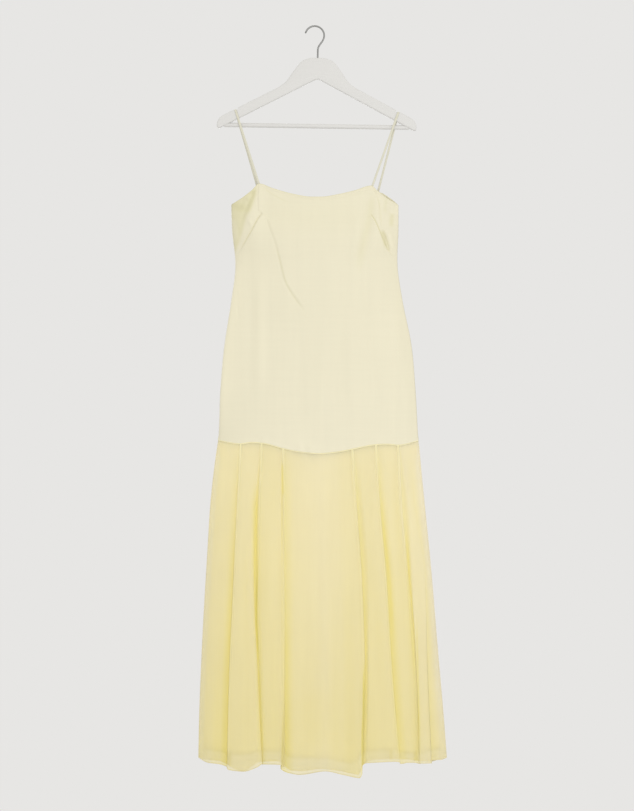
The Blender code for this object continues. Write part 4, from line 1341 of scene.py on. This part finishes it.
def wander(rows, phases, waves):
    waves = [np.sin(rows * turn + phases * shift) * size for turn, shift, size in waves]
    return sum(waves) * np.minimum(rows / WAVE_START, 1)


def fold_lines(half, rows):
    """x and out at each row, and the hem, of the side seams and the folds between them."""
    x, out = np.zeros((2, len(rows), len(half.folds) + 2))
    phases = np.arange(1, len(half.folds) + 1) * WAVE_STEP + half.phase
    for values, name, waves in ((x, "x", X_WAVES), (out, "out", OUT_WAVES)):
        values[:, 1:-1] = steady_at(LEVELS, column(half.folds, name), rows).T
        values[:, 1:-1] += wander(rows[:, None], phases, waves)
    tops = half.seam[0].drop, half.seam[-1].drop
    left, right = (outline_at(top + (SIDE_HEM - top) * rows) for top in tops)
    x[:, 0], x[:, -1] = left[0], right[1]
    return x, out, np.array([SIDE_HEM, *column(half.folds, "hem"), SIDE_HEM])


def skirt_stations(steps, knots, seams):
    """Where the skirt's columns stand, along the knots: closer at its sides and seams."""
    side = 1 - np.cos(np.arange(SIDE_COLUMNS) / SIDE_COLUMNS * math.pi / 2)
    shares = [side]
    for step in steps[1:-1]:
        count = max(FEWEST_COLUMNS, round(step * MM / SKIRT_PITCH))
        shares.append(np.arange(count) / count)
    shares.append(np.concatenate([[0], 1 - side[:0:-1]]))
    runs = [knot + share * step for knot, share, step in zip(knots, shares, steps)]
    stations = np.concatenate([*runs, knots[-1:]])
    clear = np.abs(stations[:, None] - seams).min(axis=1) > SEAM_CLEAR
    near = [seams + far * way for far in SEAM_STATIONS for way in (-1, 1)]
    return np.unique(np.concatenate([stations[clear], *near]))


def fold_shade(x, out):
    """How shut in by nearby folds each point is, from 0 on a ridge to 1 under a deep fold, which
    the chiffon shows as painted shade.
    """
    tone = np.zeros_like(x)
    for r in range(len(x)):
        near = np.clip(1 - np.abs(x[r][:, None] - x[r][None]) / FOLD_REACH, 0, 1)
        rise = out[r][None] - out[r][:, None]
        tone[r] = (near * rise).max(axis=1) / FULL_RISE
    return DEEPEST * np.tanh(tone / DEEPEST)


def tint_panels(tone, doubled, unlined, x, bounds):
    """Gives each panel its own yellow, and its own cover where it is unlined."""
    for panel, start, end in zip(PANELS, bounds, bounds[1:]):
        span = slice(start, end)
        tone[:, span] += panel.tone
        if panel.name == "centre":
            left, right = x[:, start:start + 1], x[:, end:end + 1]
            aside = (x[:, span] - (left + right) / 2) / (right - left) * 2
            tone[:, span] += CENTRE_TONE * np.minimum(aside**2, 1)
        doubled[:, span] = np.maximum(doubled[:, span], panel.cover * unlined[:, span])


def skirt_rows():
    """Shares of the skirt's length at which its rows lie."""
    rows = np.linspace(0, 1, SKIRT_ROWS)
    eased = (1 - np.cos(rows * math.pi)) / 2
    rows = rows * (1 - ROW_CROWDING) + ROW_CROWDING * eased
    return np.concatenate([rows[:1], TOP_ROWS, rows[1:-1], HEM_ROWS, rows[-1:]])


def skirt_grid(half):
    """The skirt's half, side seam to side seam: its points, how deep its yellow is, where it
    has no lining and where it is doubled, and the columns where its panels start."""
    sizes, rows = bpy.context.scene.dress_sizes, skirt_rows()
    x, out, hem = fold_lines(half, rows)
    steps = np.hypot(np.diff(x, axis=1), np.diff(out, axis=1))[len(rows) // 2:].mean(axis=0)
    knots = summed(steps)
    panels = [fold.panel for fold in half.folds]
    seams = np.array([knots[i + 1] for i in range(1, len(panels)) if panels[i] != panels[i - 1]])
    stations = skirt_stations(steps, knots, seams)
    starts = np.searchsorted(stations, seams).tolist()
    x, out, hem = (steady_at(knots, values, stations) for values in (x, out, hem))
    rows = rows[:, None]
    top = edge_drop(half.seam, x[0])
    drop = top + (hem - top) * rows

    tone = fold_shade(x, out) + FALL_TONE * rows
    out = out * sizes.fold_depth
    unlined = ease((drop - edge_drop(LINING_HEM, x) + UNLINED_LEAD) / UNLINED_FADE)
    hem_height = sizes.hem_height / MM * HEM_SPREAD
    doubled = ease((hem_height - (hem - drop)) / HEM_SOFTNESS) * HEM_COVER
    bounds = [0, *starts, len(stations) - 1]
    tint_panels(tone, doubled, unlined, x, bounds)
    tone = tone + stroked(half.deeps, FOLD_SHADE_FADES, x, drop)
    doubled = np.maximum(doubled, ease((TOP_BAND - (drop - top)) / TOP_SOFTNESS))
    seam_half = sizes.seam_width / MM / 2
    cover = SEAM_COVER - SEAM_LOSS * ease(rows / SEAM_LOSS_END)
    for at in starts:
        far = np.hypot(x - x[:, at:at + 1], out - out[:, at:at + 1])
        seam = ease((seam_half * SEAM_SPREAD - far) / (seam_half * SEAM_SOFTNESS)) * cover
        seam = seam * (np.abs(stations - stations[at]) < SEAM_REACH)
        doubled = np.maximum(doubled, seam)
        out = out + SEAM_RISE * seam

    near_top = hump(drop - top, TOP_REACH)
    out = out + bodice_relief(x[0], top, half) * near_top
    grid = ring_points(x, drop, out, half.front, TOP_INSET * near_top)
    grid = np.concatenate([grid[:1] + (0, 0, TUCK), grid])
    looks = np.stack([tone, unlined, doubled])
    return grid, np.concatenate([looks[:, :1], looks], axis=1), bounds


class DRESS_OT_skirt(bpy.types.Operator):
    """Hang the chiffon panels in their folds, with their narrow seams and hem"""

    bl_idname = "dress.skirt"
    bl_label = "Skirt"

    def execute(self, context):
        wall, chiffon = context.scene.dress_sizes.chiffon_wall, chiffon_finish("chiffon finish")
        for half in (FRONT, BACK):
            grid, looks, bounds = skirt_grid(half)
            for panel, start, end, cut in zip(PANELS, bounds, bounds[1:], half.cuts[2:]):
                name, span = f"skirt_{half.name}_{panel.name}", slice(start, end + 1)
                # fold carries the painted shade of the folds' insides
                numbers = dict(zip(("fold", "unlined", "doubled"), looks[:, :, span]))
                drape(
                    f"{name}_chiffon", name, grid[:, span], numbers, half, wall,
                    chiffon,
                )
        return {"FINISHED"}


def lining_grid(half):
    """The lining's half: its points and how much its hem fades, seen through the chiffon."""
    across = -np.cos(np.linspace(0, math.pi, LINING_COLUMNS))
    rows = np.linspace(0, 1, LINING_ROWS)[:, None] ** LINING_CROWDING
    inset = LINING_TOP_INSET + (LINING_INSET - LINING_TOP_INSET) * ease(rows / LINING_SLOPE)
    top = edge_drop(half.seam, ring_x(half.seam[0].drop, across)) + LINING_START
    low = edge_drop(LINING_HEM, between(LINING_HEM[0].x, LINING_HEM[-1].x, across))
    drop = top + (low - top) * rows
    x = ring_x(drop, across, inset)
    out = sum(np.sin(across * turn + phase + rows) * size for turn, phase, size in LINING_WAVES)
    grid = ring_points(x, drop, out * ease(rows * 2), half.front, inset)
    return grid, ease((drop - low + LOW_LEAD) / LOW_FADE)


class DRESS_OT_lining(bpy.types.Operator):
    """Hang the skirt's lining inside the chiffon"""

    bl_idname = "dress.lining"
    bl_label = "Lining"

    def execute(self, context):
        wall, stuff = context.scene.dress_sizes.lining_wall, lining_finish("lining finish")
        for half in (FRONT, BACK):
            grid, low = lining_grid(half)
            drape(
                f"lining_{half.name}_cloth", f"skirt_lining_{half.name}", grid,
                {"low": low}, half, wall, stuff,
            )
        return {"FINISHED"}


# Stage

PHOTO_HEIGHT = 811
PIXEL = 2.225 * MM
PHOTO_MIDDLE = (317.0, 405.5)
HOOK_PIXEL = (314.8, 26.0)
SENSOR = 36.0
CLOTH_DEPTH = -0.022  # the plane in which a pixel is PIXEL wide
FLOOR_SIZE, FLOOR_DROP = 1.5, 1.95
# Brightness of the surroundings by height: straight down, near level, level, above, up
DOME = ((0, 0.8), (0.4, 0.95), (0.45, 1), (0.56, 1), (0.7, 1.1), (1, 1.2))
Light = namedtuple("Light", "name size place target")
LIGHTS = table(
    Light,
    ("key", (2.4, 2.6), (0.6, -3.6, -0.3), (0, 0, -0.82)),
    ("back", (2.4, 2.6), (-0.9, 3.6, -0.3), (0, 0, -0.85)),
    ("side", (1.2, 2.4), (3.0, -1.6, -1.3), (0, 0, -1.4)),
)


def soft_light(lamp, power):
    light = bpy.data.lights.new(lamp.name, "AREA")
    light.shape = "RECTANGLE"
    light.size, light.size_y = lamp.size
    light.energy = power
    piece = bpy.data.objects.new(lamp.name, light)
    bpy.context.scene.collection.objects.link(piece)
    piece.location = lamp.place
    aim = np.array(lamp.target) - lamp.place
    flat = math.hypot(aim[0], aim[1])
    piece.rotation_euler = (math.atan2(flat, -aim[2]), 0, math.atan2(-aim[0], aim[1]))


class DRESS_OT_studio(bpy.types.Operator):
    """Set up the pale surroundings, the soft lights, the floor and the camera"""

    bl_idname = "dress.studio"
    bl_label = "Studio"

    def execute(self, context):
        scene, studio = context.scene, context.scene.dress_studio
        backdrop = tuple(studio.backdrop)
        scene.view_settings.view_transform = "Standard"
        scene.world = bpy.data.worlds.new("surroundings")
        dome = Nodes(scene.world, "Background")
        look = dome.add("ShaderNodeTexCoord", {}, {}, "Generated")
        level = dome.add("ShaderNodeSeparateXYZ", {}, {"Vector": look}, "Z") * 0.5 + 0.5
        stops = [(place, tuple(c * factor for c in backdrop)) for place, factor in DOME]
        dome.feed("Color", dome.add("ShaderNodeValToRGB", {"stops": stops}, {"Fac": level}))

        x = (PHOTO_MIDDLE[0] - HOOK_PIXEL[0]) * PIXEL
        z = (HOOK_PIXEL[1] - PHOTO_MIDDLE[1]) * PIXEL
        camera = bpy.data.cameras.new("camera")
        camera.sensor_width = SENSOR
        camera.lens = SENSOR * (studio.distance + CLOTH_DEPTH) / (PHOTO_HEIGHT * PIXEL)
        eye = bpy.data.objects.new("camera", camera)
        scene.collection.objects.link(eye)
        eye.location = (x, -studio.distance, z)
        eye.rotation_euler = (math.pi / 2, 0, 0)
        scene.camera = eye

        for lamp in LIGHTS:
            soft_light(lamp, getattr(studio, f"{lamp.name}_power"))

        deselect()
        bpy.ops.mesh.primitive_plane_add(size=FLOOR_SIZE, location=(x, 0, -FLOOR_DROP))
        floor = context.object
        floor.name = floor.data.name = "studio_floor"
        settle(floor)
        finish = Finish("floor", Base_Color=backdrop, Roughness=0.8)
        floor.data.materials.append(finish.material)
        return {"FINISHED"}


class DRESS_PT_panel(bpy.types.Panel):
    """The dress's pieces, sizes and colours"""

    bl_idname = "DRESS_PT_panel"
    bl_label = "Maxi dress"
    bl_space_type = "VIEW_3D"
    bl_region_type = "UI"
    bl_category = "Dress"

    def draw(self, context):
        for name in GROUPS:
            group = getattr(context.scene, name)
            box = self.layout.box()
            for key in group.__annotations__:
                box.prop(group, key)
        for operator in OPERATORS:
            self.layout.operator(operator.bl_idname)


OPERATORS = (
    DRESS_OT_hanger_board,
    DRESS_OT_hanger_bar,
    DRESS_OT_hanger_hook,
    DRESS_OT_straps,
    DRESS_OT_bodice,
    DRESS_OT_skirt,
    DRESS_OT_lining,
    DRESS_OT_studio,
)
GROUPS = {
    "dress_colours": DressColours,
    "dress_sizes": DressSizes,
    "dress_studio": StudioSettings,
}


def register():
    for group in GROUPS.values():
        bpy.utils.register_class(group)
    for name, group in GROUPS.items():
        setattr(bpy.types.Scene, name, bpy.props.PointerProperty(type=group))
    for operator in OPERATORS:
        bpy.utils.register_class(operator)
    bpy.utils.register_class(DRESS_PT_panel)


def unregister():
    bpy.utils.unregister_class(DRESS_PT_panel)
    for operator in reversed(OPERATORS):
        bpy.utils.unregister_class(operator)
    for name, group in reversed(GROUPS.items()):
        delattr(bpy.types.Scene, name)
        bpy.utils.unregister_class(group)


def main():
    register()
    for operator in OPERATORS:
        family, action = operator.bl_idname.split(".")
        getattr(getattr(bpy.ops, family), action)()


if __name__ == "__main__":
    main()
